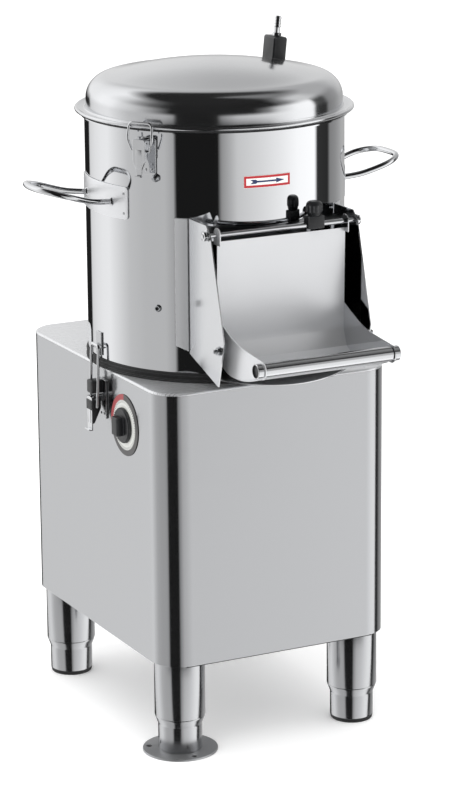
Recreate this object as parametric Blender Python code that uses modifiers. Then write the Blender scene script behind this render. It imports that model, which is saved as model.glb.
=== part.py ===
"""Potato peeler machine on a floor-standing cabinet.

A polished drum stands on a sheet-metal cabinet with four adjustable legs. A belt drive in the cabinet
turns an abrasive disc in the drum, and a flap at the front lets the peeled potatoes out.

Metres, +Z up, the front faces -Y. "reach" is a distance forward of the drum's axis, and "angle" goes
round the drum from the front, positive towards +X.
"""

import math

import bmesh
import bpy
from mathutils import Matrix, Vector

# Sheet, gaps and smoothness
SHEET = 0.0015
THICK_SHEET = 0.003
GAP = 0.0003
RUN_GAP = 0.0005
OVERRUN = 0.02
MERGE = 0.00001
TURN_STEPS = 56
SMALL_STEPS = 24
PIN_STEPS = 16
BEND_STEPS = 6
PROFILE_STEPS = 4

# Drum, whose frame is on its axis at its lower edge
DRUM_RADIUS = 0.153
DRUM_HEIGHT = 0.2799
DRUM_RIM = 0.004
DRUM_STAND = 0.0116
LINER_THICKNESS = 0.003
LINER_BOTTOM = 0.0134
LINER_TOP_DROP = 0.0295
COLLAR_GAP = 0.005
COLLAR_WALL = 0.002
COLLAR_RISE = 0.0115
SEAL_PROUD = 0.0025

LABEL_START = math.radians(-14.3)
LABEL_END = math.radians(7.3)
LABEL_RISE = 0.034
LABEL_HEIGHT = 0.014
LABEL_THICKNESS = 0.0005

DRUM_RIM_RADIUS = DRUM_RADIUS + DRUM_RIM
COLLAR_RADIUS = DRUM_RADIUS - SHEET - COLLAR_GAP

# Drive
MOTOR_RADIUS = 0.056
MOTOR_FLANGE_RADIUS = 0.062
MOTOR_FLANGE = 0.010
MOTOR_HEIGHT = 0.150
MOTOR_TERMINAL = 0.060
MOTOR_TERMINAL_OUT = 0.085
ROTOR_RADIUS = 0.007
ROTOR_LENGTH = 0.030
PULLEY_ROOM = 0.0097
PULLEY_HEIGHT = 0.022
PULLEY_SPAN = 0.0465
DRIVE_PULLEY_RADIUS = 0.072
MOTOR_PULLEY_RADIUS = 0.024
GROOVE_DEPTH = 0.006
GROOVE_HEIGHT = 0.010
BELT_THICKNESS = 0.007
BELT_HEIGHT = 0.009
SHAFT_RADIUS = 0.0125
SHAFT_END = 0.011
SHAFT_IN_DISC = 0.0125
HOUSING_FLANGE_RADIUS = 0.055
HOUSING_FLANGE = 0.008
HOUSING_RADIUS = 0.030
HOUSING_ROOM = 0.034
HOUSING_BOSS_RADIUS = 0.024
DISC_ROOM = 0.003
DISC_EDGE_GAP = 0.0037
DISC_THICKNESS = 0.008
DISC_HUB_RADIUS = 0.026
DISC_HUB_HEIGHT = 0.006
DISC_RIDGES = 3
DISC_RIDGE_RADIUS = 0.010
DISC_RIDGE_RISE = 0.004
DISC_RIDGE_START = 0.038
DISC_RIDGE_MARGIN = 0.0125

# Cabinet, which is as wide as the drum's collar and as deep as the collar, the belt and the motor need
BASE_SIDE_ROOM = 0.0045
BASE_FRONT_ROOM = 0.0155
BASE_REAR_ROOM = 0.0185
BASE_BOTTOM = 0.114
BASE_HEIGHT = 0.329
BASE_CORNER = 0.036
FLOOR_LIFT = 0.002

PULLEY_SPACING = DRIVE_PULLEY_RADIUS + MOTOR_PULLEY_RADIUS + PULLEY_SPAN
BASE_WIDTH = 2 * (COLLAR_RADIUS + BASE_SIDE_ROOM)
BASE_DEPTH = BASE_FRONT_ROOM + COLLAR_RADIUS + PULLEY_SPACING + MOTOR_FLANGE_RADIUS + BASE_REAR_ROOM
BASE_TOP = BASE_BOTTOM + BASE_HEIGHT
DRUM_OFFSET = BASE_DEPTH / 2 - BASE_FRONT_ROOM - COLLAR_RADIUS
DRUM_BOTTOM = BASE_TOP + DRUM_STAND
MOTOR_Y = PULLEY_SPACING - DRUM_OFFSET
MOTOR_BOTTOM = BASE_BOTTOM + FLOOR_LIFT + THICK_SHEET + GAP
PULLEY_Z = MOTOR_BOTTOM + MOTOR_HEIGHT + PULLEY_ROOM + PULLEY_HEIGHT / 2
COLLAR_TOP = BASE_TOP + COLLAR_RISE
DISC_BOTTOM = COLLAR_TOP + DISC_ROOM
DISC_RADIUS = DRUM_RADIUS - SHEET - GAP - LINER_THICKNESS - DISC_EDGE_GAP
SHAFT_TOP = DISC_BOTTOM + SHAFT_IN_DISC
SHAFT_BOTTOM = PULLEY_Z - PULLEY_HEIGHT / 2 - SHAFT_END
HOUSING_BOTTOM = PULLEY_Z + PULLEY_HEIGHT / 2 + HOUSING_ROOM

# Legs and feet, up from the floor
LEG_INSET = 0.0355
LEG_RADIUS = 0.030
LEG_WALL = 0.002
LEG_BOTTOM = 0.0447
FOOT_RADIUS = 0.026
FOOT_SHOULDER_BOTTOM = 0.034
FOOT_STEM_TOP = 0.084
FOOT_WALL = 0.003
RUBBER_HEIGHT = 0.005
RUBBER_INSET = 0.0008
FLANGE_RADIUS = 0.0445
FLANGE_THICKNESS = 0.0027
FLANGE_HOLE_RADIUS = 0.0035
FLANGE_HOLE_CIRCLE = 0.037
FLANGE_HOLES = 3

# Lid, up from the drum's top
GASKET_HEIGHT = 0.003
LID_BRIM = 0.0073
LID_BEAD = 0.002
LID_WALL_INSET = 0.002
LID_SHOULDER_START = 0.0175
LID_SHOULDER_RADIUS = 0.027
LID_CROWN_FLAT = 0.0005
LID_CROWN_EDGE = 0.0443
LID_TOP = 0.0601
LID_SKIRT = 0.006
LID_SKIRT_GAP = 0.0012

LID_RIM_RADIUS = DRUM_RIM_RADIUS + LID_BRIM
LID_WALL_RADIUS = DRUM_RADIUS - LID_WALL_INSET
LID_CROWN_EDGE_RADIUS = LID_WALL_RADIUS - LID_SHOULDER_RADIUS - LID_CROWN_FLAT

# Water inlet on the lid
INLET_ANGLE = math.radians(118.61)
INLET_EDGE = 0.0257
INLET_WIDTH = 0.018
INLET_DEPTH = 0.029
INLET_BOTTOM = 0.040
INLET_HEIGHT = 0.032
INLET_LEAN = math.radians(6)
INLET_CHAMFER = 0.002
BARB_RADIUS = 0.0042
BARB_BORE = 0.0022
BARB_NUT_RADIUS = 0.0056
BARB_NUT_HEIGHT = 0.004
BARB_HEIGHT = 0.024
BARB_OFFSET_X = -0.001
BARB_OFFSET_Y = -0.004

# Drain, gland and timer, in from the cabinet's sides
DRAIN_SIDE = 0.047
DRAIN_BACK = 0.0625
DRAIN_RADIUS = 0.018
DRAIN_WALL = 0.0015
DRAIN_DROP = 0.113
DRAIN_BEND = 0.040
DRAIN_OUT = 0.030
GLAND_SIDE = 0.061
GLAND_RISE = 0.076
GLAND_RADIUS = 0.011
GLAND_LENGTH = 0.022
GLAND_BORE = 0.004
GLAND_THREAD_RADIUS = 0.008
GLAND_NUT_HEIGHT = 0.005
DIAL_LATCH_GAP = 0.012
TIMER_DROP = 0.057
DIAL_RADIUS = 0.0365
DIAL_THICKNESS = 0.0008
TIMER_BODY_SIDE = 0.050
TIMER_BODY_DEPTH = 0.036
SPINDLE_RADIUS = 0.003
SPINDLE_DEPTH = 0.012
SPINDLE_HOLE_RADIUS = 0.005
KNOB_RADIUS = 0.021
KNOB_SKIRT = 0.0045
KNOB_GRIP_WIDTH = 0.013
KNOB_GRIP_LENGTH = 0.028
KNOB_GRIP_DEPTH = 0.0075
KNOB_GRIP_ROUNDING = 0.0022
KNOB_STANDOFF = 0.0015

DRAIN_X = BASE_WIDTH / 2 - DRAIN_SIDE
DRAIN_Y = DRAIN_BACK - DRUM_OFFSET
DRAIN_LEVEL = BASE_TOP - DRAIN_DROP
GLAND_X = GLAND_SIDE - BASE_WIDTH / 2
GLAND_Z = BASE_BOTTOM + GLAND_RISE
TIMER_Z = BASE_TOP - TIMER_DROP

# Chute, as heights above the drum's lower edge and distances out from its front
CHUTE_HALF = 0.095
CHUTE_TOP = 0.1814
CHEEK_TOP_OUT = 0.013
CHEEK_NOSE = (0.0245, 0.1689)
CHEEK_FRONT = (0.056, 0.0534)
CHEEK_TIP = (0.041, 0.0001)
CHEEK_REAR_BOTTOM = 0.0234
FLOOR_LIP_OUT = 0.0587
FLOOR_SINK = 0.001
OPENING_HALF = 0.083
OPENING_BOTTOM = 0.0264
OPENING_TOP = 0.1554
COVER_Z = 0.1679
COVER_OUT = 0.007
COVER_EAR_OUT = -0.003
COVER_NOTCH_HALF = 0.078

# Flap, measured as the chute is
HINGE_OUT = 0.016
HINGE_Z = 0.1699
HINGE_RADIUS = 0.003
HINGE_NUT_RADIUS = 0.006
HINGE_NUT_HEIGHT = 0.006
FLAP_SIDE_GAP = 0.012
FLAP_TOP_DROP = 0.008
FLAP_BEND = (0.0135, 0.0454)
SCOOP_HEEL = (0.0175, 0.0254)
SCOOP_BOTTOM = (0.069, 0.0144)
SCOOP_END = (0.117, 0.0259)
SCOOP_SIDE_TOP = (0.014, 0.0704)
SCOOP_SIDE_MIDDLE = (0.067, 0.0519)
EAR_RADIUS = 0.008
EAR_DROP = 0.018
TUBE_OUT = 0.124
TUBE_Z = 0.0364
TUBE_RADIUS = 0.00875
TUBE_WALL = 0.0012
TUBE_PROUD = 0.0075
TUBE_SEAT = 0.00185

HINGE_REACH = DRUM_RADIUS + HINGE_OUT
FLAP_HALF = CHUTE_HALF - FLAP_SIDE_GAP
FLAP_TOP = HINGE_Z - FLAP_TOP_DROP
TUBE_REACH = DRUM_RADIUS + TUBE_OUT
TUBE_HALF = FLAP_HALF + TUBE_PROUD
TUBE_SEAT_RADIUS = TUBE_RADIUS + TUBE_SEAT

# Flap lock on the hinge rod
LOCK_X = 0.042
LOCK_WIDTH = 0.021
LOCK_DEPTH = 0.0125
LOCK_BELOW = 0.0045
LOCK_ABOVE = 0.0105
LOCK_KNOB_RADIUS = 0.0095
LOCK_KNOB_HEIGHT = 0.0165
LOCK_KNOB_TOP_SHARE = 0.7
LOCK_KNOB_EDGE_SHARE = 0.93
LOCK_KNOB_EDGE_DROP_SHARE = 0.15
LOCK_KNOB_SIDE_DROP_SHARE = 0.45
LOCK_PIN_RADIUS = 0.003
LOCK_PIN_LENGTH = 0.004

LOCK_BOTTOM = HINGE_Z - LOCK_BELOW
LOCK_SPLIT = HINGE_Z + LOCK_ABOVE

# Carrying handles. The route is (out from the drum, half width, rise)
HANDLE_WIRE = 0.0035
HANDLE_DROP = 0.0885
HANDLE_HALF = 0.034
HANDLE_ROUTE = ((0.025, 0.0385, 0.0033), (0.058, 0.0415, 0.013), (0.0775, 0.027, 0.018))
HANDLE_TIP_OUT = 0.0825
HANDLE_TIP_RISE = 0.0185
HANDLE_SINK = 0.001
HANDLE_PLATE_ANGLE = math.radians(23)
HANDLE_PLATE_BELOW = 0.018
HANDLE_PLATE_ABOVE = 0.020

# Lid latches, out from the drum and up or down from their pin
LID_LATCH_ANGLES = {"left": math.radians(-57), "right": math.radians(123)}
LID_PIVOT_OUT = 0.0115
LID_PIVOT_DROP = 0.013
LID_LATCH_PLATE_HALF = 0.013
LID_LATCH_PLATE_BELOW = 0.0375
LID_LATCH_PLATE_ABOVE = 0.0055
LID_EAR_OFFSET = 0.0055
LID_EAR_HALF_HEIGHT = 0.0034
LID_LEVER_HALF = 0.0085
LID_LEVER_ABOVE = 0.005
LID_LEVER_BELOW = 0.0385
LID_LEVER_OUT = 0.0055
LID_LEVER_LIP = 0.004
LID_LEVER_ROOM = 0.002
LID_BAIL_BELOW = 0.009
LID_BAIL_WIRE = 0.0015
LID_BAIL_HALF = 0.0162
LID_BAIL_OUT = 0.003
LID_BAIL_OVERLAP = 0.0007
LID_BAIL_KNEE_SHARE = 0.42
LID_BAIL_NECK_SHARE = 0.88
LID_BAIL_NECK_HALF_SHARE = 0.95
LID_BAIL_BAR_HALF_SHARE = 0.78
LATCH_HEAD_ROOM = 0.0012
PIN_RADIUS = 0.0016
WIRE_BEND_SHARE = 1.2

LID_PIVOT_REACH = DRUM_RADIUS + LID_PIVOT_OUT

# Base latches, out from the cabinet's sides and up or down from their pin
BASE_LATCH_ANGLES = {"left": math.radians(-90), "right": math.radians(90)}
BASE_PIVOT_OUT = 0.0115
BASE_PIVOT_DROP = 0.0375
BASE_LATCH_PLATE_HALF = 0.014
BASE_LATCH_PLATE_BELOW = 0.0245
BASE_EAR_OFFSET = 0.005
BASE_EAR_HALF_HEIGHT = 0.0034
BASE_HOUSING_START = 0.0065
BASE_HOUSING_HEIGHT = 0.016
BASE_LEVER_HALF = 0.007
BASE_LEVER_ABOVE = 0.0025
BASE_LEVER_BELOW = 0.0385
BASE_LEVER_OUT = 0.0055
BASE_LEVER_LIP = 0.004
BASE_LEVER_BACK = 0.0035
BASE_LOOP_BELOW = 0.009
BASE_LOOP_WIRE = 0.0018
BASE_LOOP_HALF = 0.0098
BASE_LOOP_IN = 0.001
BASE_LOOP_OVERLAP = 0.001
BASE_LOOP_KNEE_SHARE = 0.2
KEEPER_HALF = 0.007
KEEPER_BOTTOM = 0.0029
KEEPER_HEIGHT = 0.0275
KEEPER_SHELF_RISE = 0.008
KEEPER_OUT = 0.0055

BASE_PIVOT_REACH = BASE_WIDTH / 2 + BASE_PIVOT_OUT
BASE_PIVOT_Z = BASE_TOP - BASE_PIVOT_DROP
TIMER_Y = -(DRUM_OFFSET + BASE_LATCH_PLATE_HALF + DIAL_LATCH_GAP + DIAL_RADIUS)
KEEPER_SHELF_Z = KEEPER_BOTTOM + KEEPER_SHELF_RISE
KEEPER_REACH = DRUM_RADIUS + KEEPER_OUT

# The frame's origin lies under the middle of the whole machine's box
REAR_REACH = BASE_DEPTH / 2 + DRAIN_OUT
FRONT_REACH = DRUM_OFFSET + TUBE_REACH + TUBE_SEAT_RADIUS
FRAME_Y = (FRONT_REACH - REAR_REACH) / 2
AXIS = Vector((0, -DRUM_OFFSET, 0))

parts = bpy.data.collections.new("potato_peeler")
cutters = bpy.data.collections.new("cutters")
MATERIALS = {
    "satin_steel": ((0.62, 0.62, 0.62), 0.32, 1.0),
    "mirror_steel": ((0.80, 0.80, 0.81), 0.06, 1.0),
    "chrome": ((0.75, 0.75, 0.76), 0.10, 1.0),
    "cast_iron": ((0.20, 0.21, 0.22), 0.55, 0.6),
    "motor_paint": ((0.16, 0.20, 0.24), 0.45, 0.0),
    "black_plastic": ((0.02, 0.02, 0.02), 0.45, 0.0),
    "black_rubber": ((0.015, 0.015, 0.015), 0.8, 0.0),
    "abrasive_grit": ((0.16, 0.15, 0.14), 0.95, 0.0),
    "grey_plastic": ((0.35, 0.36, 0.37), 0.5, 0.0),
}


def make_material(name):
    found = bpy.data.materials.get(name)
    if found:
        return found
    colour, roughness, metallic = MATERIALS[name]
    material = bpy.data.materials.new(name)
    material.use_nodes = True
    shader = material.node_tree.nodes["Principled BSDF"]
    shader.inputs["Base Color"].default_value = (*colour, 1)
    shader.inputs["Roughness"].default_value = roughness
    shader.inputs["Metallic"].default_value = metallic
    return material


def link(name, mesh, material, parent, place=(0, 0, 0)):
    """One object of the machine, placed in its parent's frame."""
    piece = bpy.data.objects.new(name, mesh)
    parts.objects.link(piece)
    piece.parent = parent
    piece.location = place
    mesh.materials.clear()
    mesh.materials.append(make_material(material))
    return piece


def empty(name, parent, place, turn=0.0):
    holder = bpy.data.objects.new(name, None)
    parts.objects.link(holder)
    holder.parent = parent
    holder.location = place
    holder.rotation_euler = (0, 0, turn)
    return holder


def mesh_from(bm, name, smooth=True):
    bmesh.ops.remove_doubles(bm, verts=bm.verts, dist=MERGE)
    bmesh.ops.recalc_face_normals(bm, faces=bm.faces)
    mesh = bpy.data.meshes.new(name)
    bm.to_mesh(mesh)
    bm.free()
    if smooth:
        mesh.shade_smooth()
        mesh.set_sharp_from_angle(angle=math.radians(35))
    return mesh


def screw(piece, steps):
    turn = piece.modifiers.new("turn", "SCREW")
    turn.steps = turn.render_steps = steps
    turn.use_merge_vertices = True
    turn.merge_threshold = MERGE


def turned(name, outline, material, parent, place=(0, 0, 0), steps=TURN_STEPS, ring=False):
    """A turned piece. The outline is (radius, height) from top to bottom, and a ring's outline closes."""
    mesh = bpy.data.meshes.new(name)
    points = [(radius, 0, height) for radius, height in outline]
    edges = [(i, i + 1) for i in range(len(points) - 1)]
    if ring:
        edges.append((len(points) - 1, 0))
    mesh.from_pydata(points, edges, [])
    piece = link(name, mesh, material, parent, place)
    screw(piece, steps)
    return piece


def outline_face(bm, points):
    """A flat face through 3-D points."""
    return bm.faces.new([bm.verts.new(p) for p in points])


def slab(name, points, thickness, material, parent, place=(0, 0, 0)):
    """A flat sheet: the 3-D outline pushed along its own normal."""
    bm = bmesh.new()
    face = outline_face(bm, points)
    bm.normal_update()
    push = face.normal * thickness
    grown = bmesh.ops.extrude_face_region(bm, geom=[face])["geom"]
    verts = [g for g in grown if isinstance(g, bmesh.types.BMVert)]
    bmesh.ops.translate(bm, verts=verts, vec=push)
    return link(name, mesh_from(bm, name), material, parent, place)


def box_mesh(name, size, centre=(0, 0, 0), rounding=0.0, segments=2):
    bm = bmesh.new()
    matrix = Matrix.Translation(Vector(centre)) @ Matrix.Diagonal((*size, 1))
    bmesh.ops.create_cube(bm, size=1, matrix=matrix)
    if rounding:
        bmesh.ops.bevel(
            bm, geom=list(bm.edges), offset=rounding, segments=segments, profile=0.5, affect="EDGES"
        )
    return mesh_from(bm, name)


def box(name, size, centre, material, parent, place=(0, 0, 0), rounding=0.0):
    return link(name, box_mesh(name, size, centre, rounding), material, parent, place)


def rounded_rectangle(width, depth, radius, z, steps=BEND_STEPS):
    points = []
    for corner, (sx, sy) in enumerate(((1, 1), (-1, 1), (-1, -1), (1, -1))):
        centre = Vector((sx * (width / 2 - radius), sy * (depth / 2 - radius), z))
        for i in range(steps + 1):
            angle = (corner + i / steps) * math.pi / 2
            points.append(centre + radius * Vector((math.cos(angle), math.sin(angle), 0)))
    return points


def smooth_curve(points, steps):
    """Points on a Catmull-Rom curve through the given ones."""
    points = [Vector(p) for p in points]
    ends = [2 * points[0] - points[1], *points, 2 * points[-1] - points[-2]]
    curve = []
    for a, b, c, d in zip(ends, ends[1:], ends[2:], ends[3:]):
        for i in range(steps):
            t = i / steps
            curve.append(
                (2 * b + (c - a) * t + (2 * a - 5 * b + 4 * c - d) * t**2
                 + (3 * b - a - 3 * c + d) * t**3) / 2
            )
    return [*curve, points[-1]]


def bent(points, trim, steps):
    """Straight runs between the points, with each inner corner rounded over the trim length."""
    points = [Vector(p) for p in points]
    route = [points[0]]
    for before, corner, after in zip(points, points[1:], points[2:]):
        start = corner + (before - corner).normalized() * trim
        end = corner + (after - corner).normalized() * trim
        for i in range(steps + 1):
            t = i / steps
            route.append(start * (1 - t) ** 2 + corner * 2 * t * (1 - t) + end * t**2)
    return [*route, points[-1]]


def rod_mesh(name, points, radius, resolution=2):
    """A round bar along the points, as a mesh with welded caps."""
    curve = bpy.data.curves.new(name, "CURVE")
    curve.dimensions = "3D"
    curve.bevel_depth = radius
    curve.bevel_resolution = resolution
    curve.use_fill_caps = True
    spline = curve.splines.new("POLY")
    spline.points.add(len(points) - 1)
    for slot, point in zip(spline.points, points):
        slot.co = (*point, 1)
    guide = bpy.data.objects.new(name + "_guide", curve)
    cutters.objects.link(guide)
    mesh = bpy.data.meshes.new_from_object(guide.evaluated_get(bpy.context.evaluated_depsgraph_get()))
    bpy.data.objects.remove(guide)
    bm = bmesh.new()
    bm.from_mesh(mesh)
    return mesh_from(bm, name)


def cylinder_mesh(name, radius, start, end, steps=PIN_STEPS):
    start, end = Vector(start), Vector(end)
    run = end - start
    bm = bmesh.new()
    matrix = Matrix.Translation((start + end) / 2) @ run.to_track_quat("Z", "Y").to_matrix().to_4x4()
    bmesh.ops.create_cone(
        bm, cap_ends=True, segments=steps, radius1=radius, radius2=radius, depth=run.length, matrix=matrix
    )
    return mesh_from(bm, name)


def combine(piece, mesh, operation):
    """Cuts a shape out of a piece, or joins it on. The shape is in the piece's own frame."""
    tool = bpy.data.objects.new(f"{piece.name}_{operation.lower()}_{len(piece.modifiers)}", mesh)
    cutters.objects.link(tool)
    tool.parent = piece
    tool.hide_render = True
    tool.display_type = "WIRE"
    change = piece.modifiers.new(operation.lower(), "BOOLEAN")
    change.operation = operation
    change.object = tool


def cut(piece, mesh):
    combine(piece, mesh, "DIFFERENCE")


def join(piece, mesh):
    combine(piece, mesh, "UNION")


def solidify(piece, thickness, offset):
    wall = piece.modifiers.new("wall", "SOLIDIFY")
    wall.thickness = thickness
    wall.offset = offset
    wall.use_even_offset = True


def build_cabinet(root):
    """Wrapped shell, top panel with the drum's collar, and the floor inside."""
    bm = bmesh.new()
    loop = [bm.verts.new(p) for p in rounded_rectangle(BASE_WIDTH, BASE_DEPTH, BASE_CORNER, BASE_BOTTOM)]
    ring = [bm.edges.new((a, b)) for a, b in zip(loop, loop[1:] + loop[:1])]
    grown = bmesh.ops.extrude_edge_only(bm, edges=ring)["geom"]
    rise = BASE_TOP - THICK_SHEET - GAP - BASE_BOTTOM
    bmesh.ops.translate(bm, verts=[g for g in grown if isinstance(g, bmesh.types.BMVert)], vec=(0, 0, rise))
    shell = link("base_shell", mesh_from(bm, "base_shell"), "satin_steel", root)
    solidify(shell, SHEET, -1)
    side, rear = BASE_WIDTH / 2, BASE_DEPTH / 2
    spindle = Vector((-side, TIMER_Y, TIMER_Z))
    cut(shell, cylinder_mesh("spindle_hole", SPINDLE_HOLE_RADIUS, spindle - Vector((OVERRUN, 0, 0)),
                             spindle + Vector((OVERRUN, 0, 0))))
    drain = Vector((DRAIN_X, rear, DRAIN_LEVEL))
    cut(shell, cylinder_mesh("drain_hole", DRAIN_RADIUS + GAP, drain - Vector((0, OVERRUN, 0)),
                             drain + Vector((0, OVERRUN, 0)), SMALL_STEPS))
    gland = Vector((GLAND_X, rear, GLAND_Z))
    cut(shell, cylinder_mesh("gland_hole", GLAND_THREAD_RADIUS + GAP, gland - Vector((0, OVERRUN, 0)),
                             gland + Vector((0, OVERRUN, 0))))

    top = slab("top_panel", rounded_rectangle(BASE_WIDTH, BASE_DEPTH, BASE_CORNER, BASE_TOP - THICK_SHEET),
               THICK_SHEET, "satin_steel", root)
    collar = collar_mesh()
    collar.transform(Matrix.Translation(AXIS))
    join(top, collar)
    middle = AXIS + Vector((0, 0, BASE_TOP))
    drop = Vector((0, 0, OVERRUN))
    cut(top, cylinder_mesh("housing_hole", HOUSING_BOSS_RADIUS + GAP, middle - drop, middle + drop,
                           SMALL_STEPS))
    drain_top = Vector((DRAIN_X, DRAIN_Y, BASE_TOP))
    inner = DRAIN_RADIUS - DRAIN_WALL
    cut(top, cylinder_mesh("drain_inlet", inner, drain_top - drop, drain_top + drop, SMALL_STEPS))

    slack = 2 * (SHEET + GAP)
    slab("base_floor", rounded_rectangle(BASE_WIDTH - slack, BASE_DEPTH - slack, BASE_CORNER - slack / 2,
                                         BASE_BOTTOM + FLOOR_LIFT), THICK_SHEET, "satin_steel", root)

    seal_inner = COLLAR_RADIUS + GAP
    seal_outer = DRUM_RADIUS + SEAL_PROUD
    turned("drum_seal", [(seal_inner, DRUM_BOTTOM - GAP), (seal_outer, DRUM_BOTTOM - GAP),
                         (seal_outer, BASE_TOP + GAP), (seal_inner, BASE_TOP + GAP)],
           "black_rubber", root, AXIS, ring=True)


def collar_mesh():
    """The ring on the top panel that centres the drum, sunk a little into the panel to join it."""
    bm = bmesh.new()
    inner = COLLAR_RADIUS - COLLAR_WALL
    bottom = BASE_TOP - THICK_SHEET / 2
    corners = [(COLLAR_RADIUS, COLLAR_TOP), (COLLAR_RADIUS, bottom), (inner, bottom), (inner, COLLAR_TOP)]
    loop = [bm.verts.new((radius, 0, height)) for radius, height in corners]
    for a, b in zip(loop, loop[1:] + loop[:1]):
        bm.edges.new((a, b))
    bmesh.ops.spin(bm, geom=list(bm.verts) + list(bm.edges), cent=(0, 0, 0), axis=(0, 0, 1),
                   angle=math.tau, steps=TURN_STEPS, use_merge=True)
    return mesh_from(bm, "collar")


def leg_places():
    for side, sx in (("left", -1), ("right", 1)):
        for end, sy in (("front", -1), ("rear", 1)):
            yield f"{end}_{side}", (sx * (BASE_WIDTH / 2 - LEG_INSET), sy * (BASE_DEPTH / 2 - LEG_INSET), 0)


def build_legs(root):
    """Leg tubes, and feet that slide out of them. The front left foot is screwed to the floor."""
    bore = LEG_RADIUS - LEG_WALL
    top = BASE_BOTTOM + FLOOR_LIFT - GAP
    stem = bore - RUN_GAP
    for name, place in leg_places():
        turned(f"leg_{name}", [(0, top), (LEG_RADIUS, top), (LEG_RADIUS, LEG_BOTTOM), (bore, LEG_BOTTOM),
                               (bore, top - LEG_WALL), (0, top - LEG_WALL)],
               "satin_steel", root, place, SMALL_STEPS * 2)
        flanged = name == "front_left"
        foot_bottom = FLANGE_THICKNESS + GAP if flanged else RUBBER_HEIGHT + GAP
        stem_wall = stem - FOOT_WALL
        holder = empty(f"foot_{name}_slide", root, place)
        shoulder_top = LEG_BOTTOM - GAP
        turned(f"foot_{name}", [(0, shoulder_top), (stem_wall, shoulder_top), (stem_wall, FOOT_STEM_TOP),
                                (stem, FOOT_STEM_TOP), (stem, shoulder_top),
                                (LEG_RADIUS - RUN_GAP, shoulder_top),
                                (FOOT_RADIUS, FOOT_SHOULDER_BOTTOM), (FOOT_RADIUS, foot_bottom),
                                (0, foot_bottom)],
               "satin_steel", holder, steps=SMALL_STEPS * 2)
        if flanged:
            flange = turned("floor_flange", [(0, FLANGE_THICKNESS), (FLANGE_RADIUS, FLANGE_THICKNESS),
                                             (FLANGE_RADIUS, 0), (0, 0)], "satin_steel", holder,
                            steps=SMALL_STEPS * 2)
            for i in range(FLANGE_HOLES):
                angle = math.tau * (i + 0.25) / FLANGE_HOLES
                spot = FLANGE_HOLE_CIRCLE * Vector((math.cos(angle), math.sin(angle), 0))
                drop = Vector((0, 0, OVERRUN))
                cut(flange, cylinder_mesh("flange_hole", FLANGE_HOLE_RADIUS, spot - drop, spot + drop))
        else:
            rubber = FOOT_RADIUS - RUBBER_INSET
            turned(f"rubber_end_{name}", [(0, RUBBER_HEIGHT), (FOOT_RADIUS, RUBBER_HEIGHT), (rubber, 0),
                                          (0, 0)],
                   "black_rubber", holder, steps=SMALL_STEPS * 2)


def pulley_outline(radius, bore):
    """A belt pulley with one groove, round its own middle height."""
    half, groove = PULLEY_HEIGHT / 2, GROOVE_HEIGHT / 2
    root_radius = radius - GROOVE_DEPTH
    return [(bore, half), (radius, half), (radius, groove), (root_radius, groove), (root_radius, -groove),
            (radius, -groove), (radius, -half), (bore, -half)]


def belt_loop(radius_a, radius_b, spacing, z):
    """An open belt's outline round a pulley at the origin and one further along +Y."""
    lean = math.asin((radius_a - radius_b) / spacing)
    points = []
    for centre_y, radius, start, sweep in ((0, radius_a, math.pi - lean, math.pi + 2 * lean),
                                           (spacing, radius_b, -lean * -1, math.pi - 2 * lean)):
        for i in range(SMALL_STEPS + 1):
            angle = start + sweep * i / SMALL_STEPS
            points.append(Vector((radius * math.cos(angle), centre_y + radius * math.sin(angle), z)))
    return points


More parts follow.
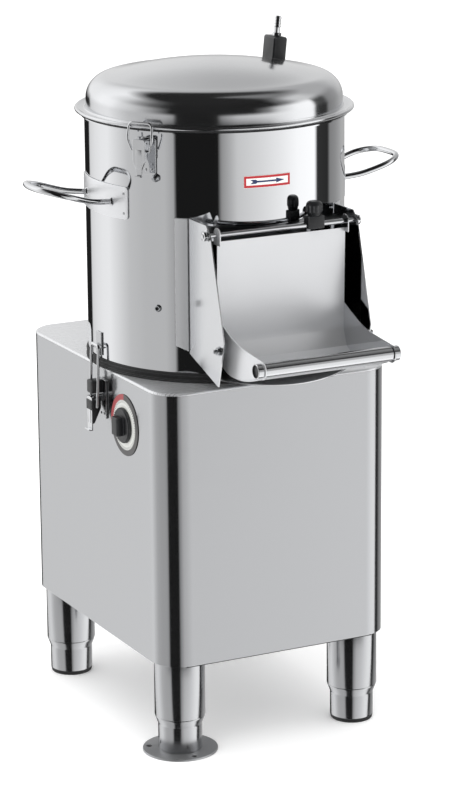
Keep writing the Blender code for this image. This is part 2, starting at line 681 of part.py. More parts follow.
def build_drive(root):
    """Motor, belt drive, shaft in its housing, and the abrasive disc."""
    body_top = MOTOR_BOTTOM + MOTOR_HEIGHT
    bore = ROTOR_RADIUS + GAP
    pulley_bottom = PULLEY_Z - PULLEY_HEIGHT / 2
    rotor_bottom = pulley_bottom - ROTOR_LENGTH
    motor = turned("motor", [(bore, body_top), (MOTOR_RADIUS, body_top),
                             (MOTOR_RADIUS, MOTOR_BOTTOM + MOTOR_FLANGE),
                             (MOTOR_FLANGE_RADIUS, MOTOR_BOTTOM + MOTOR_FLANGE),
                             (MOTOR_FLANGE_RADIUS, MOTOR_BOTTOM),
                             (0, MOTOR_BOTTOM), (0, rotor_bottom - GAP), (bore, rotor_bottom - GAP)],
                   "motor_paint", root, (0, MOTOR_Y, 0), SMALL_STEPS * 2, ring=True)
    middle = MOTOR_BOTTOM + MOTOR_HEIGHT / 2
    join(motor, box_mesh("terminal_box", (MOTOR_TERMINAL, MOTOR_TERMINAL, MOTOR_TERMINAL),
                         (MOTOR_TERMINAL / 2 - MOTOR_TERMINAL_OUT, 0, middle)))

    spin = empty("disc_spin", root, AXIS)
    shaft_grip = SHAFT_RADIUS + GAP
    turned("drive_shaft", [(0, SHAFT_TOP), (SHAFT_RADIUS, SHAFT_TOP), (SHAFT_RADIUS, SHAFT_BOTTOM),
                           (0, SHAFT_BOTTOM)],
           "satin_steel", spin, steps=SMALL_STEPS)
    turned("drive_pulley", pulley_outline(DRIVE_PULLEY_RADIUS, shaft_grip), "cast_iron", spin,
           (0, 0, PULLEY_Z),
           ring=True)
    disc_top = DISC_BOTTOM + DISC_THICKNESS
    hub_top = SHAFT_TOP + GAP + DISC_HUB_HEIGHT
    disc = turned("abrasive_disc", [(0, hub_top), (DISC_HUB_RADIUS, hub_top), (DISC_HUB_RADIUS, disc_top),
                                    (DISC_RADIUS, disc_top), (DISC_RADIUS, DISC_BOTTOM),
                                    (shaft_grip, DISC_BOTTOM),
                                    (shaft_grip, SHAFT_TOP + GAP), (0, SHAFT_TOP + GAP)], "abrasive_grit",
                  spin)
    for i in range(DISC_RIDGES):
        ridge = cylinder_mesh("ridge", DISC_RIDGE_RADIUS, (DISC_RIDGE_START, 0, 0),
                              (DISC_RADIUS - DISC_RIDGE_MARGIN, 0, 0))
        flatten = Matrix.Diagonal((1, 1, DISC_RIDGE_RISE / DISC_RIDGE_RADIUS, 1))
        turn = Matrix.Rotation(math.tau * i / DISC_RIDGES, 4, "Z")
        ridge.transform(Matrix.Translation((0, 0, disc_top)) @ turn @ flatten)
        join(disc, ridge)

    panel_under = BASE_TOP - THICK_SHEET - GAP
    turned("bearing_housing", [(SHAFT_RADIUS + RUN_GAP, COLLAR_TOP), (HOUSING_BOSS_RADIUS, COLLAR_TOP),
                               (HOUSING_BOSS_RADIUS, panel_under), (HOUSING_FLANGE_RADIUS, panel_under),
                               (HOUSING_FLANGE_RADIUS, panel_under - HOUSING_FLANGE),
                               (HOUSING_RADIUS, panel_under - HOUSING_FLANGE),
                               (HOUSING_RADIUS, HOUSING_BOTTOM),
                               (SHAFT_RADIUS + RUN_GAP, HOUSING_BOTTOM)], "cast_iron", root, AXIS,
           SMALL_STEPS * 2, ring=True)

    rotor = empty("motor_spin", root, (0, MOTOR_Y, PULLEY_Z))
    half, groove = PULLEY_HEIGHT / 2, GROOVE_HEIGHT / 2
    groove_radius = MOTOR_PULLEY_RADIUS - GROOVE_DEPTH
    turned("motor_pulley", [(0, half), (MOTOR_PULLEY_RADIUS, half), (MOTOR_PULLEY_RADIUS, groove),
                            (groove_radius, groove), (groove_radius, -groove), (MOTOR_PULLEY_RADIUS, -groove),
                            (MOTOR_PULLEY_RADIUS, -half), (ROTOR_RADIUS, -half),
                            (ROTOR_RADIUS, -half - ROTOR_LENGTH), (0, -half - ROTOR_LENGTH)],
           "cast_iron", rotor, steps=SMALL_STEPS)

    drive_in = DRIVE_PULLEY_RADIUS - GROOVE_DEPTH + RUN_GAP
    motor_in = groove_radius + RUN_GAP
    z = PULLEY_Z - BELT_HEIGHT / 2
    belt = slab("drive_belt", belt_loop(drive_in + BELT_THICKNESS, motor_in + BELT_THICKNESS,
                                        PULLEY_SPACING, z),
                BELT_HEIGHT, "black_rubber", root, AXIS)
    inside = slab_mesh("belt_inside", belt_loop(drive_in, motor_in, PULLEY_SPACING, z - OVERRUN),
                       BELT_HEIGHT + 2 * OVERRUN)
    cut(belt, inside)


def slab_mesh(name, points, thickness):
    bm = bmesh.new()
    face = outline_face(bm, points)
    bm.normal_update()
    push = Vector((0, 0, thickness)) if abs(face.normal.z) > abs(face.normal.x) else face.normal * thickness
    grown = bmesh.ops.extrude_face_region(bm, geom=[face])["geom"]
    bmesh.ops.translate(bm, verts=[g for g in grown if isinstance(g, bmesh.types.BMVert)], vec=push)
    return mesh_from(bm, name)


def build_services(root):
    """Drain pipe and cable gland at the back, timer on the left side."""
    rear = BASE_DEPTH / 2
    start = Vector((DRAIN_X, DRAIN_Y, BASE_TOP - THICK_SHEET - GAP))
    route = [start]
    for i in range(BEND_STEPS + 1):
        angle = math.pi / 2 * i / BEND_STEPS
        route.append(Vector((DRAIN_X, DRAIN_Y + DRAIN_BEND * (1 - math.cos(angle)),
                             DRAIN_LEVEL + DRAIN_BEND * (1 - math.sin(angle)))))
    route.append(Vector((DRAIN_X, rear + DRAIN_OUT, DRAIN_LEVEL)))
    drain = link("drain_pipe", rod_mesh("drain_pipe", route, DRAIN_RADIUS, 4), "grey_plastic", root)
    route[0] = route[0] + Vector((0, 0, OVERRUN))
    route[-1] = route[-1] + Vector((0, OVERRUN, 0))
    cut(drain, rod_mesh("drain_bore", route, DRAIN_RADIUS - DRAIN_WALL, 4))

    gland = turned("cable_gland", [(GLAND_BORE, GLAND_LENGTH), (GLAND_RADIUS, GLAND_LENGTH),
                                   (GLAND_RADIUS, GLAND_NUT_HEIGHT), (GLAND_RADIUS, GAP),
                                   (GLAND_THREAD_RADIUS, GAP),
                                   (GLAND_THREAD_RADIUS, -GLAND_NUT_HEIGHT), (GLAND_BORE, -GLAND_NUT_HEIGHT)],
                   "black_plastic", root, (GLAND_X, rear, GLAND_Z), PIN_STEPS, ring=True)
    gland.rotation_euler = (-math.pi / 2, 0, 0)

    inner_face = -BASE_WIDTH / 2 + SHEET + GAP
    body = box("timer_body", (TIMER_BODY_DEPTH, TIMER_BODY_SIDE, TIMER_BODY_SIDE),
               (inner_face + TIMER_BODY_DEPTH / 2, TIMER_Y, TIMER_Z), "black_plastic", root)
    hole = Vector((inner_face, TIMER_Y, TIMER_Z))
    cut(body, cylinder_mesh("spindle_bore", SPINDLE_RADIUS + GAP, hole - Vector((OVERRUN, 0, 0)),
                            hole + Vector((SPINDLE_DEPTH, 0, 0))))

    plate_hole = SPINDLE_HOLE_RADIUS
    outer_face = -BASE_WIDTH / 2 - GAP
    plate = turned("dial_plate", [(plate_hole, DIAL_THICKNESS), (DIAL_RADIUS, DIAL_THICKNESS),
                                  (DIAL_RADIUS, 0),
                                  (plate_hole, 0)], "grey_plastic", root, (outer_face, TIMER_Y, TIMER_Z),
                   SMALL_STEPS * 2, ring=True)
    plate.rotation_euler = (0, -math.pi / 2, 0)

    turn = empty("timer_turn", root, (-BASE_WIDTH / 2, TIMER_Y, TIMER_Z))
    face = -KNOB_STANDOFF
    knob = link("timer_knob", cylinder_mesh("timer_knob", KNOB_RADIUS, (face, 0, 0),
                                            (face - KNOB_SKIRT, 0, 0),
                                            SMALL_STEPS * 2), "black_plastic", turn)
    grip_out = KNOB_SKIRT + KNOB_GRIP_DEPTH
    join(knob, box_mesh("grip", (grip_out - KNOB_SKIRT / 2, KNOB_GRIP_WIDTH, KNOB_GRIP_LENGTH),
                        (face - KNOB_SKIRT / 4 - grip_out / 2, 0, 0), KNOB_GRIP_ROUNDING))
    tail = SHEET + SPINDLE_DEPTH
    join(knob, cylinder_mesh("spindle", SPINDLE_RADIUS, (face - KNOB_SKIRT / 2, 0, 0), (tail, 0, 0)))


def build_label(drum):
    """The small curved label on the drum's front."""
    middle = (LABEL_START + LABEL_END) / 2
    mount = empty("label_mount", drum, (0, 0, 0), middle)
    bottom = CHUTE_TOP + LABEL_RISE
    curved_plate("arrow_label", DRUM_RADIUS + GAP, (LABEL_END - LABEL_START) / 2, bottom,
                 bottom + LABEL_HEIGHT,
                 LABEL_THICKNESS, "grey_plastic", mount)


def build_drum(drum):
    """The drum's shell with its rim and opening, and the abrasive liner inside."""
    inner = DRUM_RADIUS - SHEET
    rim_under = DRUM_HEIGHT - SHEET
    shell = turned("drum_shell", [(inner, DRUM_HEIGHT), (DRUM_RIM_RADIUS, DRUM_HEIGHT),
                                  (DRUM_RIM_RADIUS, rim_under),
                                  (DRUM_RADIUS, rim_under), (DRUM_RADIUS, 0), (inner, 0)],
                   "mirror_steel", drum, steps=TURN_STEPS, ring=True)
    height = OPENING_TOP - OPENING_BOTTOM
    centre = (0, -DRUM_RADIUS, (OPENING_TOP + OPENING_BOTTOM) / 2)
    size = (2 * OPENING_HALF, DRUM_RADIUS, height)
    cut(shell, box_mesh("opening", size, centre))
    outer = inner - GAP
    lining = outer - LINER_THICKNESS
    liner_top = DRUM_HEIGHT - LINER_TOP_DROP
    liner = turned("abrasive_liner", [(lining, liner_top), (outer, liner_top), (outer, LINER_BOTTOM),
                                      (lining, LINER_BOTTOM)], "abrasive_grit", drum, steps=TURN_STEPS,
                   ring=True)
    cut(liner, box_mesh("liner_opening", size, centre))


def wall_reach(x, gap=GAP):
    """How far forward the drum's wall stands at x, with a gap in front of it."""
    return math.sqrt((DRUM_RADIUS + gap) ** 2 - x * x)


def at(x, reach, z):
    return Vector((x, -reach, z))


def ahead(*points):
    """Points (out from the drum's front, height) as (reach, height)."""
    return [(DRUM_RADIUS + out, z) for out, z in points]


def cheek_outline():
    rear = wall_reach(CHUTE_HALF - SHEET)
    front = ahead((CHEEK_TOP_OUT, CHUTE_TOP), CHEEK_NOSE, CHEEK_FRONT, CHEEK_TIP)
    return [(rear, CHUTE_TOP), *front, (rear, CHEEK_REAR_BOTTOM)]


def floor_line(reach):
    """Height of the chute floor's top face, just above the cheeks' lower edge."""
    tip_reach, tip_z = ahead(CHEEK_TIP)[0]
    slope = (CHEEK_REAR_BOTTOM - tip_z) / (tip_reach - wall_reach(CHUTE_HALF - SHEET))
    return tip_z + slope * (tip_reach - reach) + FLOOR_SINK + SHEET


def build_chute(drum):
    """Cheeks, sloping floor with its bowed lip, and the cover over the opening."""
    for side, sx in (("left", -1), ("right", 1)):
        outer, inner = sx * CHUTE_HALF, sx * (CHUTE_HALF - SHEET)
        cheek = link(f"cheek_{side}", side_sheet(f"cheek_{side}", cheek_outline(), outer, inner),
                     "satin_steel", drum)
        hinge = at(outer, HINGE_REACH, HINGE_Z)
        across = Vector((OVERRUN, 0, 0))
        cut(cheek, cylinder_mesh("hinge_hole", HINGE_RADIUS + GAP, hinge - across, hinge + across))

    half = CHUTE_HALF - SHEET - GAP
    bow = DRUM_RADIUS
    top = []
    for i in range(SMALL_STEPS + 1):
        x = -half + 2 * half * i / SMALL_STEPS
        reach = FLOOR_LIP_OUT + math.sqrt(bow * bow - x * x)
        top.append(at(x, reach, floor_line(reach)))
    for i in range(SMALL_STEPS + 1):
        x = half - 2 * half * i / SMALL_STEPS
        reach = wall_reach(x, GAP + SHEET / 2)
        top.append(at(x, reach, floor_line(reach)))
    slab("chute_floor", top, -SHEET, "satin_steel", drum)

    cover = []
    for i in range(SMALL_STEPS + 1):
        x = half - 2 * half * i / SMALL_STEPS
        cover.append(at(x, wall_reach(x), COVER_Z))
    for x, out in ((-half, COVER_EAR_OUT), (-COVER_NOTCH_HALF, COVER_EAR_OUT), (-COVER_NOTCH_HALF, COVER_OUT),
                   (COVER_NOTCH_HALF, COVER_OUT), (COVER_NOTCH_HALF, COVER_EAR_OUT), (half, COVER_EAR_OUT)):
        cover.append(at(x, DRUM_RADIUS + out, COVER_Z))
    slab("chute_cover", cover, SHEET, "satin_steel", drum)

    end = CHUTE_HALF + GAP + HINGE_NUT_HEIGHT
    rod = link("hinge_rod", cylinder_mesh("hinge_rod", HINGE_RADIUS, at(-end, HINGE_REACH, HINGE_Z),
                                          at(end, HINGE_REACH, HINGE_Z)), "chrome", drum)
    for sx in (-1, 1):
        nut = cylinder_mesh("nut", HINGE_NUT_RADIUS, at(sx * (CHUTE_HALF + GAP), HINGE_REACH, HINGE_Z),
                            at(sx * (end - GAP), HINGE_REACH, HINGE_Z), 6)
        join(rod, nut)


def build_flap(drum):
    """The flap with its scooped lower end and ears, hung on the rod, and its tube handle."""
    hinge = at(0, HINGE_REACH, HINGE_Z)
    swing = empty("flap_hinge", drum, hinge)
    front = smooth_curve([(*point, 0) for point in ahead(SCOOP_HEEL, SCOOP_BOTTOM, SCOOP_END)], BEND_STEPS)
    scoop = [(p[0], p[1]) for p in front]
    profile = [(HINGE_REACH, FLAP_TOP), *ahead(SCOOP_SIDE_TOP, FLAP_BEND), *scoop]
    seat = []
    for i in range(SMALL_STEPS // 2 + 1):
        angle = math.pi * i / (SMALL_STEPS // 2) - math.pi / 2
        seat.append((TUBE_REACH + TUBE_SEAT_RADIUS * math.cos(angle),
                     TUBE_Z + TUBE_SEAT_RADIUS * math.sin(angle)))
    bm = bmesh.new()
    half = FLAP_HALF - SHEET / 2
    rows = []
    for x in (-half, half):
        rows.append([bm.verts.new(at(x, reach, z) - hinge) for reach, z in profile])
    left, right = rows
    for i in range(len(profile) - 1):
        bm.faces.new((left[i], left[i + 1], right[i + 1], right[i]))
    for x, row in ((-half, left), (half, right)):
        rim = [bm.verts.new(at(x, reach, z) - hinge) for reach, z in (*seat, *ahead(SCOOP_SIDE_MIDDLE))]
        bm.faces.new([*row[1:], *rim])
    flap = link("discharge_flap", mesh_from(bm, "discharge_flap"), "satin_steel", swing)
    solidify(flap, SHEET, 0)
    for sx in (-1, 1):
        inner = sx * (FLAP_HALF - SHEET)
        lug = at(sx * FLAP_HALF, HINGE_REACH, HINGE_Z) - hinge
        inward = Vector((inner - sx * FLAP_HALF, 0, 0))
        join(flap, cylinder_mesh("ear", EAR_RADIUS, lug, lug + inward, SMALL_STEPS))
        join(flap, box_mesh("ear_foot", (SHEET, 2 * EAR_RADIUS, EAR_DROP),
                            (sx * (FLAP_HALF - SHEET / 2), 0, -EAR_DROP / 2)))
    across = Vector((CHUTE_HALF, 0, 0))
    cut(flap, cylinder_mesh("rod_hole", HINGE_RADIUS + GAP, -across, across))
    tube_axis = at(0, TUBE_REACH, TUBE_Z) - hinge
    cut(flap, cylinder_mesh("tube_hole", TUBE_RADIUS + GAP, tube_axis - across, tube_axis + across,
                            SMALL_STEPS))

    inner = TUBE_RADIUS - TUBE_WALL
    tube = turned("flap_handle", [(inner, TUBE_HALF), (TUBE_RADIUS, TUBE_HALF), (TUBE_RADIUS, -TUBE_HALF),
                                  (inner, -TUBE_HALF)], "satin_steel", swing, tube_axis, SMALL_STEPS,
                  ring=True)
    tube.rotation_euler = (0, math.pi / 2, 0)


def build_lock(drum):
    """Lock block on the hinge rod, with a plunger knob that pulls up."""
    block = box("lock_block", (LOCK_WIDTH, LOCK_DEPTH, LOCK_SPLIT - LOCK_BOTTOM),
                at(LOCK_X, HINGE_REACH, (LOCK_SPLIT + LOCK_BOTTOM) / 2), "black_plastic", drum)
    across = Vector((LOCK_WIDTH, 0, 0))
    rod = at(LOCK_X, HINGE_REACH, HINGE_Z)
    cut(block, cylinder_mesh("rod_bore", HINGE_RADIUS + GAP, rod - across, rod + across))
    pull = empty("lock_pull", drum, at(LOCK_X, HINGE_REACH, LOCK_SPLIT + GAP))
    pin_hole = Vector(pull.location)
    drop = Vector((0, 0, LOCK_PIN_LENGTH))
    cut(block, cylinder_mesh("pin_hole", LOCK_PIN_RADIUS + GAP, pin_hole - drop, pin_hole + drop))
    radius, top = LOCK_KNOB_RADIUS, LOCK_KNOB_HEIGHT
    edge_drop, side_drop = radius * LOCK_KNOB_EDGE_DROP_SHARE, radius * LOCK_KNOB_SIDE_DROP_SHARE
    turned("lock_knob", [(0, top), (radius * LOCK_KNOB_TOP_SHARE, top),
                         (radius * LOCK_KNOB_EDGE_SHARE, top - edge_drop),
                         (radius, top - side_drop), (radius, 0), (LOCK_PIN_RADIUS, 0),
                         (LOCK_PIN_RADIUS, GAP * 2 - LOCK_PIN_LENGTH), (0, GAP * 2 - LOCK_PIN_LENGTH)],
           "black_plastic", pull, steps=SMALL_STEPS)


def curved_plate(name, radius, half_angle, bottom, top, thickness, material, parent):
    """A sheet bent to the drum, centred at the front of its own frame."""
    bm = bmesh.new()
    steps = BEND_STEPS * 2
    rows = []
    for z in (bottom, top):
        row = []
        for i in range(steps + 1):
            angle = -half_angle + 2 * half_angle * i / steps
            row.append(bm.verts.new((radius * math.sin(angle), -radius * math.cos(angle), z)))
        rows.append(row)
    for i in range(steps):
        bm.faces.new((rows[0][i], rows[0][i + 1], rows[1][i + 1], rows[1][i]))
    plate = link(name, mesh_from(bm, name), material, parent)
    solidify(plate, thickness, 1 if outward(plate) else -1)
    return plate


def outward(plate):
    """Whether an open sheet's faces point away from the drum's axis."""
    face = plate.data.polygons[0]
    return face.normal.x * face.center.x + face.normal.y * face.center.y > 0


def build_handles(drum):
    """Wire handles welded to plates that are bent to the drum."""
    for side, turn in (("left", -math.pi / 2), ("right", math.pi / 2)):
        mount = empty(f"handle_{side}_mount", drum, (0, 0, DRUM_HEIGHT - HANDLE_DROP), turn)
        radius = DRUM_RADIUS + GAP
        handle = curved_plate(f"drum_handle_{side}", radius, HANDLE_PLATE_ANGLE, -HANDLE_PLATE_BELOW,
                              HANDLE_PLATE_ABOVE,
                              SHEET, "satin_steel", mount)
        root_reach = radius + SHEET - HANDLE_SINK
        wall = math.sqrt(root_reach ** 2 - (HANDLE_HALF - HANDLE_WIRE) ** 2)
        half_route = [at(HANDLE_HALF, wall, 0)]
        half_route += [at(half, DRUM_RADIUS + out, z) for out, half, z in HANDLE_ROUTE]
        tip = at(0, DRUM_RADIUS + HANDLE_TIP_OUT, HANDLE_TIP_RISE)
        other = [Vector((-p.x, p.y, p.z)) for p in reversed(half_route)]
        route = smooth_curve([*half_route, tip, *other], 4)
        join(handle, rod_mesh("wire", route, HANDLE_WIRE, 3))


def side_sheet(name, outline, start, end):
    """A flat sheet across X. Its outline is (reach, height)."""
    bm = bmesh.new()
    face = outline_face(bm, [at(start, reach, z) for reach, z in outline])
    grown = bmesh.ops.extrude_face_region(bm, geom=[face])["geom"]
    verts = [g for g in grown if isinstance(g, bmesh.types.BMVert)]
    bmesh.ops.translate(bm, verts=verts, vec=(end - start, 0, 0))
    return mesh_from(bm, name)


def toggle_lever(name, size, holder, material="satin_steel"):
    """A channel lever that hangs from its pin, with a lip at the lower end. Its frame is at the pin."""
    half, top, bottom, reach, lip, wall_inner = (
        size["half"], size["above"], -size["below"], size["reach"], size["lip"], size["ear"])
    back = size["back"]
    height = top - bottom
    middle = (top + bottom) / 2
    depth = reach - back
    lever = box(name, (2 * half, depth, height), (0, -(reach + back) / 2, middle), material, holder)
    cut(lever, box_mesh("channel", (2 * wall_inner, depth, height + 2 * OVERRUN),
                        (0, -(reach + back) / 2 + SHEET, middle)))
    join(lever, box_mesh("lip", (2 * half, lip + SHEET, SHEET),
                         (0, -reach - lip / 2 + SHEET / 2, bottom + SHEET / 2)))
    join(lever, cylinder_mesh("pin", PIN_RADIUS, (-half, 0, 0), (half, 0, 0)))
    return lever


def latch_base(name, size, holder):
    """The plate and two ears that carry a lever's pin, on a frame at the pin's height."""
    half, back = size["plate_half"], size["plate_back"]
    bottom, top = -size["plate_below"], size["plate_above"]
    pivot_reach, ear, ear_half = size["pivot_reach"], size["ear"], size["ear_half"]
    plate_front = back + SHEET
    base = box(name, (2 * half, SHEET, top - bottom), (0, -(back + plate_front) / 2, (top + bottom) / 2),
               "satin_steel", holder)
    root = back + SHEET / 2
    outline = [(root, ear_half)]
    for i in range(PIN_STEPS // 2 + 1):
        angle = math.pi / 2 - math.pi * i / (PIN_STEPS // 2)
        outline.append((pivot_reach + ear_half * math.cos(angle), ear_half * math.sin(angle)))
    outline.append((root, -ear_half))
    for sx in (-1, 1):
        join(base, side_sheet("ear", outline, sx * (ear - SHEET), sx * ear))
    across = Vector((half, 0, 0))
    pin = Vector((0, -pivot_reach, 0))
    cut(base, cylinder_mesh("pin_hole", PIN_RADIUS + GAP, pin - across, pin + across))
    return base


def wire_loop(name, corners, radius, holder, material="chrome"):
    """A wire loop, given by the corners of its right half from the pivot up."""
    left = [Vector((-p.x, p.y, p.z)) for p in reversed(corners)]
    route = bent([*corners, *left], radius * WIRE_BEND_SHARE, 3)
    return link(name, rod_mesh(name, route, radius, 2), material, holder)


def build_lid_latches(drum):
    """Two draw latches that hold the lid's rim down."""
    plate_back = DRUM_RADIUS + GAP
    bar_z = 2 * GAP + GASKET_HEIGHT + LID_BEAD * 2 + LATCH_HEAD_ROOM + LID_BAIL_WIRE
    bar_reach = LID_RIM_RADIUS + LID_BAIL_WIRE - LID_BAIL_OVERLAP
    for side, angle in LID_LATCH_ANGLES.items():
        mount = empty(f"lid_latch_{side}_mount", drum, (0, 0, DRUM_HEIGHT - LID_PIVOT_DROP), angle)
        latch_base(f"lid_latch_base_{side}", {
            "plate_half": LID_LATCH_PLATE_HALF, "plate_below": LID_LATCH_PLATE_BELOW,
            "plate_above": LID_LATCH_PLATE_ABOVE, "plate_back": plate_back, "pivot_reach": LID_PIVOT_REACH,
            "ear": LID_EAR_OFFSET, "ear_half": LID_EAR_HALF_HEIGHT}, mount)
        swing = empty(f"lid_lever_{side}_swing", mount, (0, -LID_PIVOT_REACH, 0))
        toggle_lever(f"lid_latch_lever_{side}", {
            "half": LID_LEVER_HALF, "above": LID_LEVER_ABOVE, "below": LID_LEVER_BELOW,
            "reach": LID_LEVER_OUT,
            "lip": LID_LEVER_LIP, "back": plate_back + SHEET + LID_LEVER_ROOM - LID_PIVOT_REACH,
            "ear": LID_EAR_OFFSET + RUN_GAP}, swing)
        bail_swing = empty(f"lid_bail_{side}_swing", swing, (0, 0, -LID_BAIL_BELOW))
        start = LID_LEVER_HALF + GAP
        root = start + 2 * LID_BAIL_WIRE
        shoulder = LID_PIVOT_REACH - bar_reach
        rise = bar_z + LID_PIVOT_DROP + LID_BAIL_BELOW
        wire_loop(f"lid_latch_bail_{side}", [
            Vector((start, 0, 0)), Vector((root, 0, 0)),
            Vector((LID_BAIL_HALF, -LID_BAIL_OUT, rise * LID_BAIL_KNEE_SHARE)),
            Vector((LID_BAIL_HALF * LID_BAIL_NECK_HALF_SHARE, shoulder, rise * LID_BAIL_NECK_SHARE)),
            Vector((LID_BAIL_HALF * LID_BAIL_BAR_HALF_SHARE, shoulder, rise))], LID_BAIL_WIRE, bail_swing)


def build_base_latches(machine, drum):
    """Two draw latches on the cabinet's sides that hold the drum down by its keepers."""
    plate_back = BASE_WIDTH / 2 + GAP
    bar_z = DRUM_BOTTOM + KEEPER_SHELF_Z + SHEET + LATCH_HEAD_ROOM + BASE_LOOP_WIRE
    bar_reach = KEEPER_REACH + BASE_LOOP_WIRE - BASE_LOOP_OVERLAP
    housing_top = BASE_HOUSING_START + BASE_HOUSING_HEIGHT
    for side, angle in BASE_LATCH_ANGLES.items():
        mount = empty(f"base_latch_{side}_mount", machine, AXIS + Vector((0, 0, BASE_PIVOT_Z)), angle)
        body = latch_base(f"base_latch_body_{side}", {
            "plate_half": BASE_LATCH_PLATE_HALF, "plate_below": BASE_LATCH_PLATE_BELOW,
            "plate_above": housing_top,
            "plate_back": plate_back, "pivot_reach": BASE_PIVOT_REACH, "ear": BASE_EAR_OFFSET,
            "ear_half": BASE_EAR_HALF_HEIGHT}, mount)
        front = BASE_PIVOT_REACH + BASE_LEVER_OUT
        depth = front - plate_back - SHEET / 2
        join(body, box_mesh("housing", (2 * BASE_LEVER_HALF, depth, BASE_HOUSING_HEIGHT),
                            (0, depth / 2 - front, housing_top - BASE_HOUSING_HEIGHT / 2)))
        swing = empty(f"base_lever_{side}_swing", mount, (0, -BASE_PIVOT_REACH, 0))
        toggle_lever(f"base_latch_lever_{side}", {
            "half": BASE_LEVER_HALF, "above": BASE_LEVER_ABOVE, "below": BASE_LEVER_BELOW,
            "reach": BASE_LEVER_OUT,
            "lip": BASE_LEVER_LIP, "back": -BASE_LEVER_BACK, "ear": BASE_EAR_OFFSET + RUN_GAP}, swing)
        loop_swing = empty(f"base_loop_{side}_swing", swing, (0, 0, -BASE_LOOP_BELOW))
        start = BASE_LEVER_HALF + GAP
        shoulder = BASE_PIVOT_REACH - bar_reach
        rise = bar_z - BASE_PIVOT_Z + BASE_LOOP_BELOW
        wire_loop(f"base_latch_loop_{side}", [
            Vector((start, 0, 0)), Vector((BASE_LOOP_HALF, 0, 0)),
            Vector((BASE_LOOP_HALF, BASE_LOOP_IN, rise * BASE_LOOP_KNEE_SHARE)),
            Vector((BASE_LOOP_HALF, shoulder, rise))], BASE_LOOP_WIRE, loop_swing)

        keeper_mount = empty(f"keeper_{side}_mount", drum, (0, 0, KEEPER_BOTTOM), angle)
        back = DRUM_RADIUS + GAP
        keeper = box(f"keeper_{side}", (2 * KEEPER_HALF, SHEET, KEEPER_HEIGHT),
                     (0, -back - SHEET / 2, KEEPER_HEIGHT / 2), "satin_steel", keeper_mount)
        depth = KEEPER_REACH - back - SHEET / 2
        join(keeper, box_mesh("shelf", (2 * KEEPER_HALF, depth, SHEET),
                              (0, -KEEPER_REACH + depth / 2, KEEPER_SHELF_RISE + SHEET / 2)))


def build_lid(drum):
    """The dished lid with its rolled rim, the gasket under it, and the water inlet."""
    lift = empty("lid_lift", drum, (0, 0, DRUM_HEIGHT))
    gasket_top = GAP + GASKET_HEIGHT
    inner = DRUM_RADIUS - SHEET
    turned("lid_gasket", [(inner, gasket_top), (DRUM_RIM_RADIUS, gasket_top), (DRUM_RIM_RADIUS, GAP),
                          (inner, GAP)], "black_rubber", lift, ring=True)

    rim = gasket_top + GAP
    outer, shoulder = LID_WALL_RADIUS, LID_SHOULDER_RADIUS
    edge_drop = LID_TOP - LID_CROWN_EDGE
    crown = []
    for i in range(PROFILE_STEPS):
        radius = LID_CROWN_EDGE_RADIUS * i / PROFILE_STEPS
        crown.append((radius, LID_TOP - edge_drop * (radius / LID_CROWN_EDGE_RADIUS) ** 2))
    corner = []
    for i in range(PROFILE_STEPS + 1):
        angle = math.pi / 2 * (1 - i / PROFILE_STEPS)
        corner.append((outer - shoulder + shoulder * math.cos(angle),
                       LID_SHOULDER_START + shoulder * math.sin(angle)))
    bead = []
    bead_centre = LID_RIM_RADIUS - LID_BEAD
    for i in range(PROFILE_STEPS + 1):
        angle = math.pi / 2 - math.pi * i / PROFILE_STEPS
        bead.append((bead_centre + LID_BEAD * math.cos(angle), rim + LID_BEAD + LID_BEAD * math.sin(angle)))
    skirt_outer = DRUM_RADIUS - SHEET - LID_SKIRT_GAP
    skirt_inner = skirt_outer - SHEET
    wall_inner = outer - SHEET
    outside = [*crown, *corner, (outer, rim + SHEET), (bead_centre - LID_BEAD, rim + SHEET), *bead,
               (skirt_outer, rim), (skirt_outer, rim - LID_SKIRT), (skirt_inner, rim - LID_SKIRT),
               (min(skirt_inner, wall_inner), LID_SHOULDER_START)]
    scale = (shoulder - SHEET) / shoulder
    inside = []
    for radius, height in reversed(corner[:-1]):
        inside.append((outer - shoulder + (radius - outer + shoulder) * scale - GAP,
                       LID_SHOULDER_START + (height - LID_SHOULDER_START) * scale))
    for radius, height in reversed(crown):
        inside.append((radius, height - SHEET))
    turned("lid", [*outside, *inside], "satin_steel", lift)

    inlet_reach = LID_WALL_RADIUS - INLET_EDGE
    inlet = at(inlet_reach * math.sin(INLET_ANGLE), inlet_reach * math.cos(INLET_ANGLE), INLET_BOTTOM)
    lean = Matrix.Rotation(INLET_LEAN, 4, "Y")
    block = link("water_inlet_block",
                 box_mesh("water_inlet_block", (INLET_WIDTH, INLET_DEPTH, INLET_HEIGHT),
                          (0, 0, INLET_HEIGHT / 2), INLET_CHAMFER, 1),
                 "black_plastic", lift, inlet)
    block.rotation_euler = (0, INLET_LEAN, 0)
    dome = lid_outer_mesh(crown, corner)
    dome.transform(lean.inverted() @ Matrix.Translation(-inlet))
    cut(block, dome)
    foot = Vector((BARB_OFFSET_X, BARB_OFFSET_Y, INLET_HEIGHT + GAP))
    barb = turned("hose_barb", [(BARB_BORE, BARB_HEIGHT), (BARB_RADIUS, BARB_HEIGHT),
                                (BARB_RADIUS, BARB_NUT_HEIGHT),
                                (BARB_NUT_RADIUS, BARB_NUT_HEIGHT), (BARB_NUT_RADIUS, 0), (BARB_BORE, 0)],
                  "chrome", lift, inlet + (lean @ foot), PIN_STEPS, ring=True)
    barb.rotation_euler = (0, INLET_LEAN, 0)


